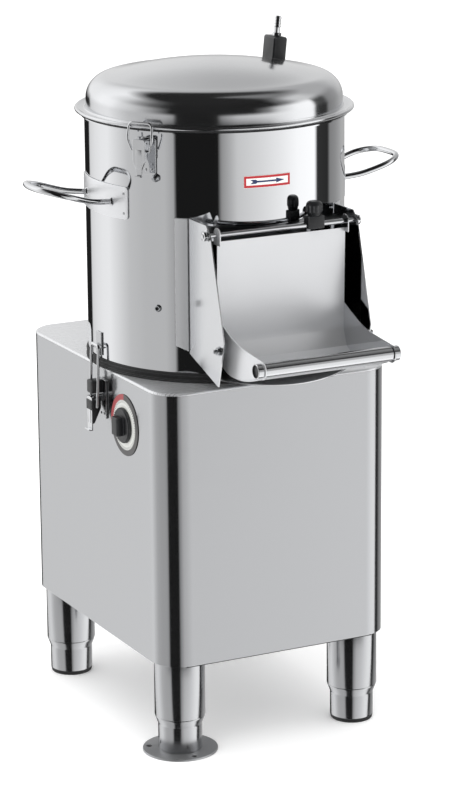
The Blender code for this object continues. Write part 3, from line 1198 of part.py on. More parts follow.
def lid_outer_mesh(crown, corner):
    """A solid as large as the lid's dome plus a gap, to seat the inlet on it."""
    bm = bmesh.new()
    rise = [(radius + GAP, height + GAP) for radius, height in [*crown[1:], *corner]]
    top = crown[0][1] + GAP
    outline = [(0, top), *rise, (rise[-1][0], LID_SHOULDER_START - OVERRUN),
               (0, LID_SHOULDER_START - OVERRUN)]
    verts = [bm.verts.new((radius, 0, height)) for radius, height in outline]
    for a, b in zip(verts, verts[1:]):
        bm.edges.new((a, b))
    bmesh.ops.spin(bm, geom=list(bm.verts) + list(bm.edges), cent=(0, 0, 0), axis=(0, 0, 1),
                   angle=math.tau, steps=TURN_STEPS, use_merge=True)
    return mesh_from(bm, "dome")


def main():
    for old in list(bpy.data.objects):
        bpy.data.objects.remove(old)
    bpy.context.scene.collection.children.link(parts)
    bpy.context.scene.collection.children.link(cutters)
    machine = empty("machine", None, (0, FRAME_Y, 0))
    drum = empty("drum_lift", machine, AXIS + Vector((0, 0, DRUM_BOTTOM)))
    build_cabinet(machine)
    build_legs(machine)
    build_drive(machine)
    build_services(machine)
    build_drum(drum)
    build_label(drum)
    build_chute(drum)
    build_flap(drum)
    build_lock(drum)
    build_handles(drum)
    build_lid_latches(drum)
    build_base_latches(machine, drum)
    build_lid(drum)


main()
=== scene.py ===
from math import asin, cos, radians, sin, sqrt, tau

import bmesh
import bpy
from mathutils import Matrix, Vector


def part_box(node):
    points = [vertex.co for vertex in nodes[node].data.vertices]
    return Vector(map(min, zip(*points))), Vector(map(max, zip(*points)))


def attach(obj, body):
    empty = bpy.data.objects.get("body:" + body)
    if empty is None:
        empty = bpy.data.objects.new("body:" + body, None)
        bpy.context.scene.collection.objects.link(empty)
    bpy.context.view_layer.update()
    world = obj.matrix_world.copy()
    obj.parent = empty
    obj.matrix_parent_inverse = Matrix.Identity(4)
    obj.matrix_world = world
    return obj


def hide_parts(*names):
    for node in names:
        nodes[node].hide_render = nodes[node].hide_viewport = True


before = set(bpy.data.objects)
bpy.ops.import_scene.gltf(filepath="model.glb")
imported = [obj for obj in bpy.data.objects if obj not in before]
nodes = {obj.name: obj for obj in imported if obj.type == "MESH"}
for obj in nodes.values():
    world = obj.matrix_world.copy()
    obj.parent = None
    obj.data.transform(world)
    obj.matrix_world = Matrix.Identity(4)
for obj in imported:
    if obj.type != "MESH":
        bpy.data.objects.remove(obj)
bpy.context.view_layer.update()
print("frame loaded:", len(nodes), "solids")

# Places read from the solids, in metres. The front faces -Y.
drumLow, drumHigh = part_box("drum_shell")
baseLow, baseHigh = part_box("base_shell")
panelLow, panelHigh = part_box("top_panel")
drumAxis = Vector(((drumLow.x + drumHigh.x) / 2, (drumLow.y + drumHigh.y) / 2, 0))
shift = Matrix.Translation
drumPlace = shift(drumAxis)
drumRadius = 0.153
drumFoot = drumLow.z
drumTop = drumHigh.z
sheet = 0.0015
gap = 0.0003  # between pieces that lie on each other
outward = Matrix.Rotation(radians(90), 4, "X")  # turns a spun part's top away from the drum
sideways = Matrix.Rotation(radians(90), 4, "Y")

# Widths of the softened edges of sheets and of small parts
softEdge, fineEdge = 0.0003, 0.0002
# Steps round the large shells, the legs and the dial, the bars, the bolts, the small holes and the dots
turnSteps, legSteps, smallSteps, boltSteps, holeSteps, dotSteps = 192, 96, 48, 32, 24, 20


# Camera, floor and light

# Degrees, metres, the focal length and height in pixels and the sensor in millimetres
camera = {"azimuth": 26.75, "elevation": 14.87, "roll": -0.466, "distance": 3.8, "focal": 3148,
    "photoHeight": 790, "sensor": 36, "aimRight": 0.0205, "aimUp": 0.3845, "aimBack": 0.0331,
    "clipEnd": 50,}


def makeCamera():
    azimuth, elevation = radians(camera["azimuth"]), radians(camera["elevation"])
    roll = radians(camera["roll"])
    right = Vector((cos(azimuth), -sin(azimuth), 0))
    look = Vector((sin(azimuth) * cos(elevation), cos(azimuth) * cos(elevation), -sin(elevation)))
    up = right.cross(look)
    aim = Vector((0, camera["aimBack"], camera["aimUp"])) + right * camera["aimRight"]
    across = right * cos(roll) + up * sin(roll)
    above = up * cos(roll) - right * sin(roll)
    data = bpy.data.cameras.new("camera")
    data.sensor_width = camera["sensor"]
    data.lens = camera["focal"] * camera["sensor"] / camera["photoHeight"]
    data.clip_end = camera["clipEnd"]
    eye = addObject("camera", data)
    turn = Matrix((across, above, -look)).transposed().to_4x4()
    eye.matrix_world = shift(aim - look * camera["distance"]) @ turn
    bpy.context.scene.camera = eye


def linear(hexText):
    values = [int(hexText[i:i + 2], 16) / 255 for i in (0, 2, 4)]
    return (*[v / 12.92 if v <= 0.04045 else ((v + 0.055) / 1.055) ** 2.4 for v in values], 1)


def grey(brightness):
    return (brightness,) * 3 + (1,)


def addNode(tree, kind, settings=None, links=None, out=0):
    node = tree.nodes.new("ShaderNode" + kind)
    for key, value in (settings or {}).items():
        if isinstance(key, int) or key in node.inputs:
            node.inputs[key].default_value = value
        else:
            setattr(node, key, value)
    for key, source in (links or {}).items():
        tree.links.new(source, node.inputs[key])
    return node.outputs[out] if node.outputs else node


def setStops(ramp, stops):
    while len(ramp.elements) > 1:
        ramp.elements.remove(ramp.elements[-1])
    ramp.elements[0].position = stops[0][0]
    ramp.elements[0].color = stops[0][1]
    for position, colour in stops[1:]:
        ramp.elements.new(position).color = colour


# A photographer's room: bright sheets all round, with dark gaps that give polished metal its stripes.
# Each pair is (degrees to the right of the camera as the machine sees it, brightness). The rises are the
# sines between which one level turns into the next. The ambient brightness lights matt surfaces, and
# "behind" is what the camera sees past the floor.
studio = {"low": ((-180, 0.34), (-171, 0.26), (-169, 0.015), (-147, 0.015), (-145, 0.8), (-132, 0.96),
    (-120, 1.05), (-109, 1.08), (-98, 0.92), (-82, 0.68), (-65, 0.61), (-45, 0.6), (-36, 0.46),
    (-34.5, 0.012), (3, 0.012), (6, 0.36), (14, 0.56), (20, 0.74), (43, 0.92), (60, 1.08), (78, 1.28),
    (99, 1.36), (102.5, 0.04), (119, 0.03), (123, 0.28), (134, 0.34), (152, 0.5), (170, 0.46)),
    "level": ((-180, 0.78), (-168, 0.88), (-156, 1.06), (-140, 1.12), (-122, 1.28), (-105, 1.24),
    (-95, 1.02), (-75, 0.74), (-58, 0.4), (-46, 0.14), (-40, 0.012), (36, 0.012), (50, 0.25), (60, 0.8),
    (78, 1.3), (98, 1.4), (102.5, 0.08), (116, 0.08), (122, 0.3), (140, 0.4), (152, 0.62), (166, 0.74)),
    "high": ((-180, 0.56), (-168, 0.72), (-155, 0.98), (-140, 1.14), (-120, 1.22), (-98, 0.9), (-80, 0.42),
    (-64, 0.16), (-50, 0.04), (-40, 0.01), (60, 0.01), (76, 0.28), (90, 0.8), (104, 0.8), (120, 0.55),
    (150, 0.52)), "top": ((-180, 0.014), (66, 0.012), (92, 0.26), (118, 0.26), (142, 0.05)),
    "rises": ((-0.1, 0.06), (0.3, 0.48), (0.7, 0.84)), "ambient": 1.22, "behind": 1.0}


def makeWorld():
    world = bpy.data.worlds.new("studio")
    bpy.context.scene.world = world
    world.use_nodes = True
    tree = world.node_tree
    tree.nodes.clear()
    way = addNode(tree, "TexCoord", out="Generated")
    heading = addNode(tree, "TexGradient", {"gradient_type": "RADIAL"}, {"Vector": way}, "Fac")
    height = addNode(tree, "SeparateXYZ", None, {"Vector": way}, "Z")
    levels = []
    for level in ("low", "level", "high", "top"):
        ramp = addNode(tree, "ValToRGB", None, {"Fac": heading}, "Color")
        stops = sorted((((degrees - 90 - camera["azimuth"]) / 360 + 0.5) % 1, brightness) for degrees,
            brightness in studio[level])
        (first, low), (last, high) = stops[0], stops[-1]
        seam = high + (low - high) * (1 - last) / (1 - last + first)  # the ramp's two ends meet
        stops = [(0, seam), *stops, (1, seam)]
        setStops(ramp.node.color_ramp, [(place, grey(brightness)) for place, brightness in stops])
        levels.append(ramp)
    room = levels[0]
    for (start, end), level in zip(studio["rises"], levels[1:]):
        share = addNode(tree, "MapRange", {"From Min": start, "From Max": end}, {"Value": height})
        room = addNode(tree, "MixRGB", None, {"Fac": share, "Color1": room, "Color2": level})
    ray = addNode(tree, "LightPath").node.outputs
    # Polished metal shows the room's sheets and gaps
    shown = addNode(tree, "MixRGB", {"Color1": grey(studio["ambient"])},
        {"Fac": ray["Is Glossy Ray"], "Color2": room})
    through = addNode(tree, "Math", {"operation": "MAXIMUM"},
        {0: ray["Is Camera Ray"], 1: ray["Is Transmission Ray"]})
    seen = addNode(tree, "MixRGB", {"Color2": grey(studio["behind"])}, {"Fac": through, "Color1": shown})
    background = addNode(tree, "Background", None, {"Color": seen})
    addNode(tree, "OutputWorld", None, {"Surface": background})


lamps = {"overhead": {"place": (-0.5, -0.3, 2.6), "aim": (0, 0, 0.3), "size": 2.2, "power": 20},
    "leftFront": {"place": (-2.4, -1.6, 1.6), "aim": (0, 0, 0.4), "size": 1.4, "power": 9}}


def makeLamps():
    for name, lamp in lamps.items():
        data = bpy.data.lights.new(name, "AREA")
        data.shape = "SQUARE"
        data.size = lamp["size"]
        data.energy = lamp["power"]
        light = addObject(name, data)
        place = Vector(lamp["place"])
        light.location = place
        light.rotation_euler = (Vector(lamp["aim"]) - place).to_track_quat("-Z", "Y").to_euler()
        light.visible_glossy = False  # the room's sheets are what the metal shows


# The glow is the camera's alone and keeps the shadow pale
floor = {"reach": 30, "glow": 0.16,
    "look": {"Base Color": "f7f7f7", "Roughness": 0.9, "Specular IOR Level": 0.1,
    "Emission Color": "ffffff"}}


def makeFloor():
    material, tree, shader = startMaterial("paleFloor", floor["look"])
    ray = addNode(tree, "LightPath", out="Is Camera Ray")
    glow = addNode(tree, "Math", {"operation": "MULTIPLY", 1: floor["glow"]}, {0: ray})
    tree.links.new(glow, shader.inputs["Emission Strength"])
    bm = bmesh.new()
    bmesh.ops.create_grid(bm, x_segments=1, y_segments=1, size=floor["reach"])
    ground = addObject("floor", toMesh(bm, "floor"))
    ground.data.materials.append(material)
    ground.visible_glossy = False  # the metal shows the room instead


# Materials

metalWear = {"share": 0.9, "colour": "f2f3f4", "rough": -0.03}  # edges rubbed brighter and smoother
darkWear = {"share": 0.8, "colour": "8d8f92", "rough": -0.05}
ironWear = {"share": 0.9, "colour": "b4b6b8", "rough": -0.1}
paintWear = {"share": 0.9, "colour": "9a9da0", "rough": 0.1}
plasticWear = {"share": 0.8, "colour": "6a6b6d", "rough": 0.1}  # edges gone grey and dull
greyWear = {"share": 0.7, "colour": "b9bbbd", "rough": 0.1}
filmWear = {"share": 0.5, "colour": "cfccc4", "rough": 0.1}
redWear = {"share": 0.5, "colour": "cd7f80", "rough": 0.1}
blueWear = {"share": 0.5, "colour": "7f87a0", "rough": 0.1}

# Sizes of the grain in millimetres along X, Y and Z. Real brush lines lie about 0.1 mm apart, and moulded,
# sprayed or printed grain about 0.3 mm. They are drawn at 1 mm and more, so that they show.
levelLines = (111.1, 111.1, 1.111)
uprightLines = (1.111, 1.111, 111.1)
panelLines = (111.1, 1.111, 111.1)
mirrorLines = (3.846, 3.846, 200)


def surface(colour, lines, strength, patch, roughness, wear=metalWear, metal=1.0, depth=0.0003,
        brushed=None, more=None):
    # lines is the size of the fine grain and patch that of the wide changes of tone, in millimetres
    look = {"Base Color": colour, "Metallic": metal, **(more or {})}
    if brushed:
        look |= {"Anisotropic": brushed, "Anisotropic Rotation": 0.25}
    sizes = lines if isinstance(lines, tuple) else (lines,) * 3
    return {"look": look, "lines": [1000 / size for size in sizes], "strength": strength,
        "patch": 1000 / patch, "roughness": roughness, "wear": wear, "depth": depth, "brushed": brushed}


finishes = {
    # Stainless sheet, brushed level: soft grey whose highlights smear upright
    "brushedSheet": surface("bdbec0", levelLines, 0.035, 200, (0.15, 0.2), brushed=0.88),
    # Stainless sheet, finely brushed from front to back: a pale top with a quiet sheen
    "brushedTop": surface("dddee0", panelLines, 0.006, 166.7, (0.24, 0.32), metal=0.72,
                          more={"Anisotropic": 0.5, "Anisotropic Rotation": 0.25}),
    # Stainless sheet, satin rolled: nearly white with no clear reflections
    "satinSheet": surface("e2e3e5", levelLines, 0.02, 142.9, (0.3, 0.38), metal=0.72),
    # Stainless sheet, polished after bending: blurred reflections with faint upright lines
    "polishedSheet": surface("d6d7d9", uprightLines, 0.015, 142.9, (0.15, 0.2), metal=0.96),
    # Stainless sheet, mirror polished: clear reflections that waver a little
    "mirrorSheet": surface("dedfe1", mirrorLines, 0.015, 166.7, (0.03, 0.06)),
    # Stainless cover, spun and buffed round its axis: soft bands that follow the curve
    "spunCover": surface("d8d9db", levelLines, 0.02, 166.7, (0.11, 0.16), brushed=0.55),
    # Stainless tube, brushed round: upright stripes of light with fine rings across them
    "brushedTube": surface("c4c5c7", levelLines, 0.09, 50, (0.15, 0.22), brushed=0.85),
    # Stainless plate, blasted: an even dull grey
    "blastedPlate": surface("b2b3b5", 3.333, 0.05, 50, (0.38, 0.5), metal=0.85),
    # Stainless sheet painted nearly black for the shade in the gap under the drum's wall, with a dull sheen
    "paintedShadeSheet": surface("3a3b3d", levelLines, 0.05, 83.33, (0.25, 0.38), darkWear),
    # Steel wire and pressings, electropolished: bright with sharp dark lines
    "brightSteel": surface("dcdddf", 6.667, 0.05, 16.67, (0.05, 0.14), depth=0.0002),
    # Stainless screws and nuts, turned: greyer, with a broken shine
    "turnedSteel": surface("a9abae", 1.429, 0.2, 11.11, (0.16, 0.32), depth=0.0002),
    # Grey iron, sand cast: dark and pitted
    "castIron": surface("6f7274", 2.381, 0.6, 25, (0.45, 0.65), ironWear, 0.9, 0.0006),
    # Motor enamel, sprayed: blue grey with a light orange peel
    "motorEnamel": surface("4a545d", 3.846, 0.25, 50, (0.34, 0.46), paintWear, 0.0,
                           more={"Coat Weight": 0.3, "Coat Roughness": 0.2}),
    # Black nylon, moulded with a fine texture: deep black with a soft shine
    "blackNylon": surface("17181a", 0.909, 0.35, 20, (0.28, 0.42), plasticWear, 0.0, 0.0002,
                          more={"IOR": 1.5}),
    # Black rubber, moulded: matt and a little dusty
    "blackRubber": surface("1b1b1c", 2, 0.3, 25, (0.55, 0.75), plasticWear, 0.0, 0.0002, more={"IOR": 1.5}),
    # Grey PVC pipe, extruded: plain and half matt
    "greyPvc": surface("8e9193", 3.333, 0.15, 50, (0.36, 0.5), greyWear, 0.0, 0.0002, more={"IOR": 1.48}),
    # White vinyl film, cast: even with a faint shine
    "whiteVinyl": surface("f1f1ee", 1.25, 0.08, 25, (0.32, 0.42), filmWear, 0.0, 0.0001, more={"IOR": 1.46}),
    # Inks, screen printed on the film: solid and slightly duller than it
    "redInk": surface("b5232b", 1.111, 0.08, 16.67, (0.38, 0.5), redWear, 0.0, 0.0001, more={"IOR": 1.46}),
    "blueInk": surface("26345f", 1.111, 0.08, 16.67, (0.38, 0.5), blueWear, 0.0, 0.0001, more={"IOR": 1.46}),
}
materials = {}


def startMaterial(name, look):
    material = bpy.data.materials.new(name)
    material.use_nodes = True
    tree = material.node_tree
    shader = tree.nodes["Principled BSDF"]
    for key, value in look.items():
        shader.inputs[key].default_value = linear(value) if isinstance(value, str) else value
    return material, tree, shader


edges = {"radius": 0.0008, "from": 0.03, "to": 0.22, "patch": 5.556}  # the patch in millimetres


def addWear(tree, shader, wear, rough):
    # Rubbed edges: where a rounded copy of the normal leaves the true one, broken up by noise
    soft = addNode(tree, "Bevel", {"Radius": edges["radius"]})
    true = addNode(tree, "NewGeometry", out="Normal")
    turned = addNode(tree, "VectorMath", {"operation": "DISTANCE"}, {0: soft, 1: true}, "Value")
    edge = addNode(tree, "MapRange", {"From Min": edges["from"], "From Max": edges["to"]},
        {"Value": turned})
    place = addNode(tree, "TexCoord", out="Object")
    noise = addNode(tree, "TexNoise", {"Scale": 1000 / edges["patch"], "Detail": 2.0}, {"Vector": place},
        "Fac")
    share = addNode(tree, "Math", {"operation": "MULTIPLY"}, {0: edge, 1: noise})
    amount = addNode(tree, "Math", {"operation": "MULTIPLY", 1: wear["share"]}, {0: share})
    plain = shader.inputs["Base Color"]
    colour = addNode(tree, "MixRGB",
        {"Color1": tuple(plain.default_value), "Color2": linear(wear["colour"])}, {"Fac": amount})
    tree.links.new(colour, plain)
    rubbed = addNode(tree, "Math", {"operation": "MULTIPLY_ADD", 1: wear["rough"]}, {0: amount, 2: rough})
    tree.links.new(rubbed, shader.inputs["Roughness"])


def addGrain(tree, shader, look):
    place = addNode(tree, "TexCoord", out="Object")
    lines = addNode(tree, "Mapping", {"Scale": look["lines"]}, {"Vector": place})
    fine = addNode(tree, "TexNoise", {"Scale": 1.0, "Detail": 3.0, "Roughness": 0.6}, {"Vector": lines},
        "Fac")
    bump = addNode(tree, "Bump", {"Strength": look["strength"], "Distance": look["depth"]},
        {"Height": fine})
    wide = addNode(tree, "TexNoise", {"Scale": look["patch"], "Detail": 2.0}, {"Vector": place}, "Fac")
    half = addNode(tree, "Math", {"operation": "MULTIPLY", 1: 0.5}, {0: wide})
    mixed = addNode(tree, "Math", {"operation": "MULTIPLY_ADD", 1: 0.5}, {0: fine, 2: half})
    low, high = look["roughness"]
    rough = addNode(tree, "MapRange", {"From Min": 0.3, "From Max": 0.7, "To Min": low, "To Max": high},
        {"Value": mixed})
    tree.links.new(bump, shader.inputs["Normal"])
    addWear(tree, shader, look["wear"], rough)


def makeMaterials():
    for name, look in finishes.items():
        material, tree, shader = startMaterial(name, look["look"])
        addGrain(tree, shader, look)
        if look["brushed"]:
            around = addNode(tree, "Tangent", {"direction_type": "RADIAL", "axis": "Z"})
            tree.links.new(around, shader.inputs["Tangent"])
        materials[name] = material
    makeGrit()
    makeDialPrint()


# Corundum, bonded on the disc and the liner in grains of 2.2 mm: dark, rough and speckled
grit = {"look": {"Base Color": "4b4844", "Metallic": 0.0, "IOR": 1.6, "Roughness": 0.85}, "grain": 2.2,
    "dark": "2b2927", "light": "77726b", "depth": 0.0012}


def makeGrit():
    material, tree, shader = startMaterial("corundumGrit", grit["look"])
    place = addNode(tree, "TexCoord", out="Object")
    cells = addNode(tree, "TexVoronoi", {"Scale": 1000 / grit["grain"]}, {"Vector": place}, "Color")
    colour = addNode(tree, "ValToRGB", None, {"Fac": cells}, "Color")
    setStops(colour.node.color_ramp, [(0, linear(grit["dark"])), (1, linear(grit["light"]))])
    bump = addNode(tree, "Bump", {"Strength": 1.0, "Distance": grit["depth"], "invert": True},
        {"Height": cells.node.outputs["Distance"]})
    tree.links.new(colour, shader.inputs["Base Color"])
    tree.links.new(bump, shader.inputs["Normal"])
    materials["corundumGrit"] = material


# Aluminium plate, printed: a pale face with dark marks, a dark ring and one red arc. The arc is in turns.
dial = {"radius": 0.0365, "band": 0.0068, "marksFrom": 0.0263, "marks": 60, "markShare": 0.28,
    "arc": (0.49, 0.745), "bandColour": "4b4a4a", "arcColour": "9c4548", "faceColour": "d2d3cf",
    "markColour": "3a3a3c", "bore": 0.005, "look": {"Metallic": 0.0, "Roughness": 0.38, "IOR": 1.46}}


def makeDialPrint():
    low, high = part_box("dial_plate")
    material, tree, shader = startMaterial("printedAluminium", dial["look"])
    place = addNode(tree, "TexCoord", out="Object")
    where = addNode(tree, "Mapping", {"Location": -(low + high) / 2}, {"Vector": place})
    # The dial faces -X, so the angle runs over Y and Z
    split = addNode(tree, "SeparateXYZ", None, {"Vector": where}).node.outputs
    flat = addNode(tree, "CombineXYZ", None, {"X": split["Y"], "Y": split["Z"]})
    radius = addNode(tree, "VectorMath", {"operation": "LENGTH"}, {0: flat}, "Value")
    turn = addNode(tree, "TexGradient", {"gradient_type": "RADIAL"}, {"Vector": flat}, "Fac")
    above, below, times = ({"operation": name} for name in ("GREATER_THAN", "LESS_THAN", "MULTIPLY"))
    start, end = dial["arc"]
    band = addNode(tree, "Math", {**above, 1: dial["radius"] - dial["band"]}, {0: radius})
    after = addNode(tree, "Math", {**above, 1: start}, {0: turn})
    before = addNode(tree, "Math", {**below, 1: end}, {0: turn})
    arc = addNode(tree, "Math", times, {0: after, 1: before})
    steps = addNode(tree, "Math", {**times, 1: dial["marks"]}, {0: turn})
    step = addNode(tree, "Math", {"operation": "FRACT"}, {0: steps})
    line = addNode(tree, "Math", {**below, 1: dial["markShare"]}, {0: step})
    outer = addNode(tree, "Math", {**above, 1: dial["marksFrom"]}, {0: radius})
    mark = addNode(tree, "Math", times, {0: line, 1: outer})
    face = addNode(tree, "MixRGB",
        {"Color1": linear(dial["faceColour"]), "Color2": linear(dial["markColour"])}, {"Fac": mark})
    ring = addNode(tree, "MixRGB",
        {"Color1": linear(dial["bandColour"]), "Color2": linear(dial["arcColour"])}, {"Fac": arc})
    shown = addNode(tree, "MixRGB", None, {"Fac": band, "Color1": face, "Color2": ring})
    tree.links.new(shown, shader.inputs["Base Color"])
    materials["printedDial"] = material


# Making pieces

def addObject(name, data):
    made = bpy.data.objects.new(name, data)
    bpy.context.scene.collection.objects.link(made)
    return made


def toMesh(bm, name):
    mesh = bpy.data.meshes.new(name)
    bm.to_mesh(mesh)
    bm.free()
    return mesh


def shownMesh(thing):
    return bpy.data.meshes.new_from_object(thing.evaluated_get(bpy.context.evaluated_depsgraph_get()))


def merge(bm):
    bmesh.ops.remove_doubles(bm, verts=bm.verts[:], dist=1e-6)


def faceOut(bm):
    bmesh.ops.recalc_face_normals(bm, faces=bm.faces[:])


def finish(name, bm, material, body, replaces=None, angle=35, recalc=True):
    merge(bm)
    if recalc:
        faceOut(bm)
    mesh = toMesh(bm, name)
    mesh.shade_smooth()
    mesh.set_sharp_from_angle(angle=radians(angle))
    mesh.materials.append(materials[material])
    piece = addObject(name, mesh)
    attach(piece, body)
    if replaces:
        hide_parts(replaces)
    return piece


def addTo(bm, part, matrix=None):
    if matrix:
        bmesh.ops.transform(part, matrix=matrix, verts=part.verts[:])
    if bm is None:
        return part
    mesh = toMesh(part, "part")
    bm.from_mesh(mesh)
    bpy.data.meshes.remove(mesh)
    return bm


def soften(bm, sharp, width, segments=2, clamp=True):
    bmesh.ops.bevel(bm, geom=sharp, offset=width, segments=segments, profile=0.5, affect="EDGES",
        material=-1, clamp_overlap=clamp)


def sharpEdges(bm, degrees=40):
    return [e for e in bm.edges if len(e.link_faces) == 2 and e.calc_face_angle(0) > radians(degrees)]


def push(bm, result, vec):
    bmesh.ops.translate(bm, verts=[g for g in result["geom"] if isinstance(g, bmesh.types.BMVert)], vec=vec)


def thickFace(bm, outline, vec):
    face = bm.faces.new([bm.verts.new(p) for p in outline])
    push(bm, bmesh.ops.extrude_face_region(bm, geom=[face]), vec)


def spin(profile, steps=turnSteps, closed=False, bm=None, matrix=None, edge=0.0, angle=30):
    part = bmesh.new()
    verts = [part.verts.new((radius, 0, height)) for radius, height in profile]
    run = [part.edges.new(pair) for pair in zip(verts, verts[1:])]
    if closed:
        run.append(part.edges.new((verts[-1], verts[0])))
    bmesh.ops.spin(part, geom=verts + run, cent=(0, 0, 0), axis=(0, 0, 1), angle=tau, steps=steps,
        use_merge=True)
    merge(part)
    faceOut(part)
    if edge:
        soften(part, sharpEdges(part, angle), edge)
    return addTo(bm, part, matrix)


def block(size, centre, edge=0.0, segments=3, bm=None, matrix=None):
    part = bmesh.new()
    bmesh.ops.create_cube(part, size=1, matrix=shift(centre) @ Matrix.Diagonal((*size, 1)))
    if edge:
        soften(part, part.edges[:], edge, segments, False)
    return addTo(bm, part, matrix)


def plate(outline, vec, edge=softEdge, bm=None):
    part = bmesh.new()
    thickFace(part, outline, vec)
    faceOut(part)
    soften(part, sharpEdges(part), edge)
    return addTo(bm, part)


def wire(points, radius, matrix=None, resolution=5):
    curve = bpy.data.curves.new("wire", "CURVE")
    curve.dimensions = "3D"
    curve.bevel_depth = radius
    curve.bevel_resolution = resolution
    curve.use_fill_caps = True
    spline = curve.splines.new("POLY")
    spline.points.add(len(points) - 1)
    for knot, point in zip(spline.points, points):
        knot.co = (*point, 1)
    guide = addObject("wire", curve)
    mesh = shownMesh(guide)
    bpy.data.objects.remove(guide)
    bpy.data.curves.remove(curve)
    part = bmesh.new()
    part.from_mesh(mesh)
    bpy.data.meshes.remove(mesh)
    merge(part)
    return addTo(None, part, matrix)


def throughPoints(points, steps):
    ends = [2 * points[0] - points[1], *points, 2 * points[-1] - points[-2]]
    curve = []
    for a, b, c, d in zip(ends, ends[1:], ends[2:], ends[3:]):
        for i in range(steps):
            t = i / steps
            bend = (2 * a - 5 * b + 4 * c - d) * t ** 2 + (3 * b - a - 3 * c + d) * t ** 3
            curve.append((2 * b + (c - a) * t + bend) / 2)
    return [*curve, points[-1]]


def rounded(points, radius, steps=5):
    points = [Vector(p) for p in points]
    route = [points[0]]
    places = [i / steps for i in range(steps + 1)]
    for before, corner, after in zip(points, points[1:], points[2:]):
        trim = min(radius, (before - corner).length / 2.1, (after - corner).length / 2.1)
        start = corner + (before - corner).normalized() * trim
        end = corner + (after - corner).normalized() * trim
        route += [start * (1 - t) ** 2 + corner * 2 * t * (1 - t) + end * t ** 2 for t in places]
    return [*route, points[-1]]


def mirrored(points):
    return [Vector((-p.x, p.y, p.z)) for p in reversed(points)]


def hexagon(radius, height, bm=None, matrix=None, edge=0.0004):
    part = bmesh.new()
    bmesh.ops.create_cone(part, cap_ends=True, segments=6, radius1=radius, radius2=radius, depth=height)
    soften(part, part.edges[:], edge, clamp=False)
    return addTo(bm, part, matrix)


def wrapRound(bm, radius, angle=0.0, step=0.003):
    # Slices a flat sheet into upright strips and lays it round the drum
    low, high = min(v.co.x for v in bm.verts), max(v.co.x for v in bm.verts)
    count = max(int((high - low) / step), 1)
    for i in range(1, count):
        x = low + (high - low) * i / count
        bmesh.ops.bisect_plane(bm, geom=bm.verts[:] + bm.edges[:] + bm.faces[:], plane_co=(x, 0, 0),
            plane_no=(1, 0, 0), dist=1e-7)
    for v in bm.verts:
        turn = v.co.x / radius + angle
        reach = radius + v.co.y
        v.co = Vector((reach * sin(turn), -reach * cos(turn), v.co.z)) + drumAxis


def dress(node, material, body, name, edge=0.0004):
    # A softened copy of a solid, whose loose triangles are merged first
    bm = bmesh.new()
    bm.from_mesh(nodes[node].data)
    merge(bm)
    bmesh.ops.dissolve_limit(bm, angle_limit=radians(0.4), verts=bm.verts[:], edges=bm.edges[:],
        delimit={"NORMAL"})
    soften(bm, sharpEdges(bm, 30), edge)
    return finish(name, bm, material, body, node, angle=18, recalc=False)


def cutWith(piece, shapes):
    for shape in shapes:
        faceOut(shape)
        tool = addObject("cutter", toMesh(shape, "cutter"))
        change = piece.modifiers.new("hole", "BOOLEAN")
        change.object = tool
        change.operation = "DIFFERENCE"
        change.solver = "EXACT"
        bpy.context.view_layer.update()
        made = shownMesh(piece)
        piece.modifiers.clear()
        piece.data = made
        bpy.data.objects.remove(tool)


def roundBar(radius, middle, half, steps=smallSteps):
    # A bar through middle that reaches half to both sides
    bm = bmesh.new()
    half = Vector(half)
    matrix = shift(middle) @ half.to_track_quat("Z", "Y").to_matrix().to_4x4()
    bmesh.ops.create_cone(bm, cap_ends=True, segments=steps, radius1=radius, radius2=radius,
        depth=2 * half.length, matrix=matrix)
    return bm


def drumFrame(angle, reach, z):
    # X runs along the drum's wall, Y points to its axis and Z up
    turn = radians(angle)
    out = Vector((sin(turn), -cos(turn), 0))
    along = Vector((cos(turn), sin(turn), 0))
    frameAt = Matrix((along, -out, Vector((0, 0, 1)))).transposed().to_4x4()
    return shift(drumAxis + out * reach + Vector((0, 0, z))) @ frameAt


def arcPoints(centre, radius, start, end, steps):
    turns = [radians(start + (end - start) * i / steps) for i in range(steps + 1)]
    return [(centre[0] + radius * cos(a), centre[1] + radius * sin(a)) for a in turns]


def roundedOutline(half, low, high, corner):
    ring = []
    for x, z, start in ((half - corner, high - corner, 0), (-half + corner, high - corner, 90),
            (-half + corner, low + corner, 180), (half - corner, low + corner, 270)):
        ring += arcPoints((x, z), corner, start, start + 90, 5)
    return ring


# Cabinet

cabinet = {"corner": 0.036, "cornerSteps": 20, "panel": 0.003, "panelEdge": 0.0022, "pipe": 0.018,
    "pipeHole": 0.0183, "glandHole": 0.0083, "spindleHole": 0.005, "shaftHole": 0.0243,
    "drainHole": 0.0165, "collar": (0.1445, 0.1465), "collarSink": 0.0005, "reach": 0.02,
    "strip": (0.0016, 0.0011), "stripPast": 0.008, "stripIn": 0.0001}  # the black strip under the front wall, a painted shadow line at its foot
seal = {"inner": 0.1468, "top": 0.0012, "waist": 0.0016, "lip": 0.28, "lipUnder": 1.5, "footRise": 0.6}


def roundedBox(low, high):
    bm = bmesh.new()
    size, centre = high - low, (low + high) / 2
    bmesh.ops.create_cube(bm, size=1, matrix=shift(centre) @ Matrix.Diagonal((*size, 1)))
    upright = [e for e in bm.edges if abs(e.verts[0].co.z - e.verts[1].co.z) > size.z / 2]
    soften(bm, upright, cabinet["corner"], cabinet["cornerSteps"], False)
    return bm


def centreOf(node):
    low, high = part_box(node)
    return (low + high) / 2


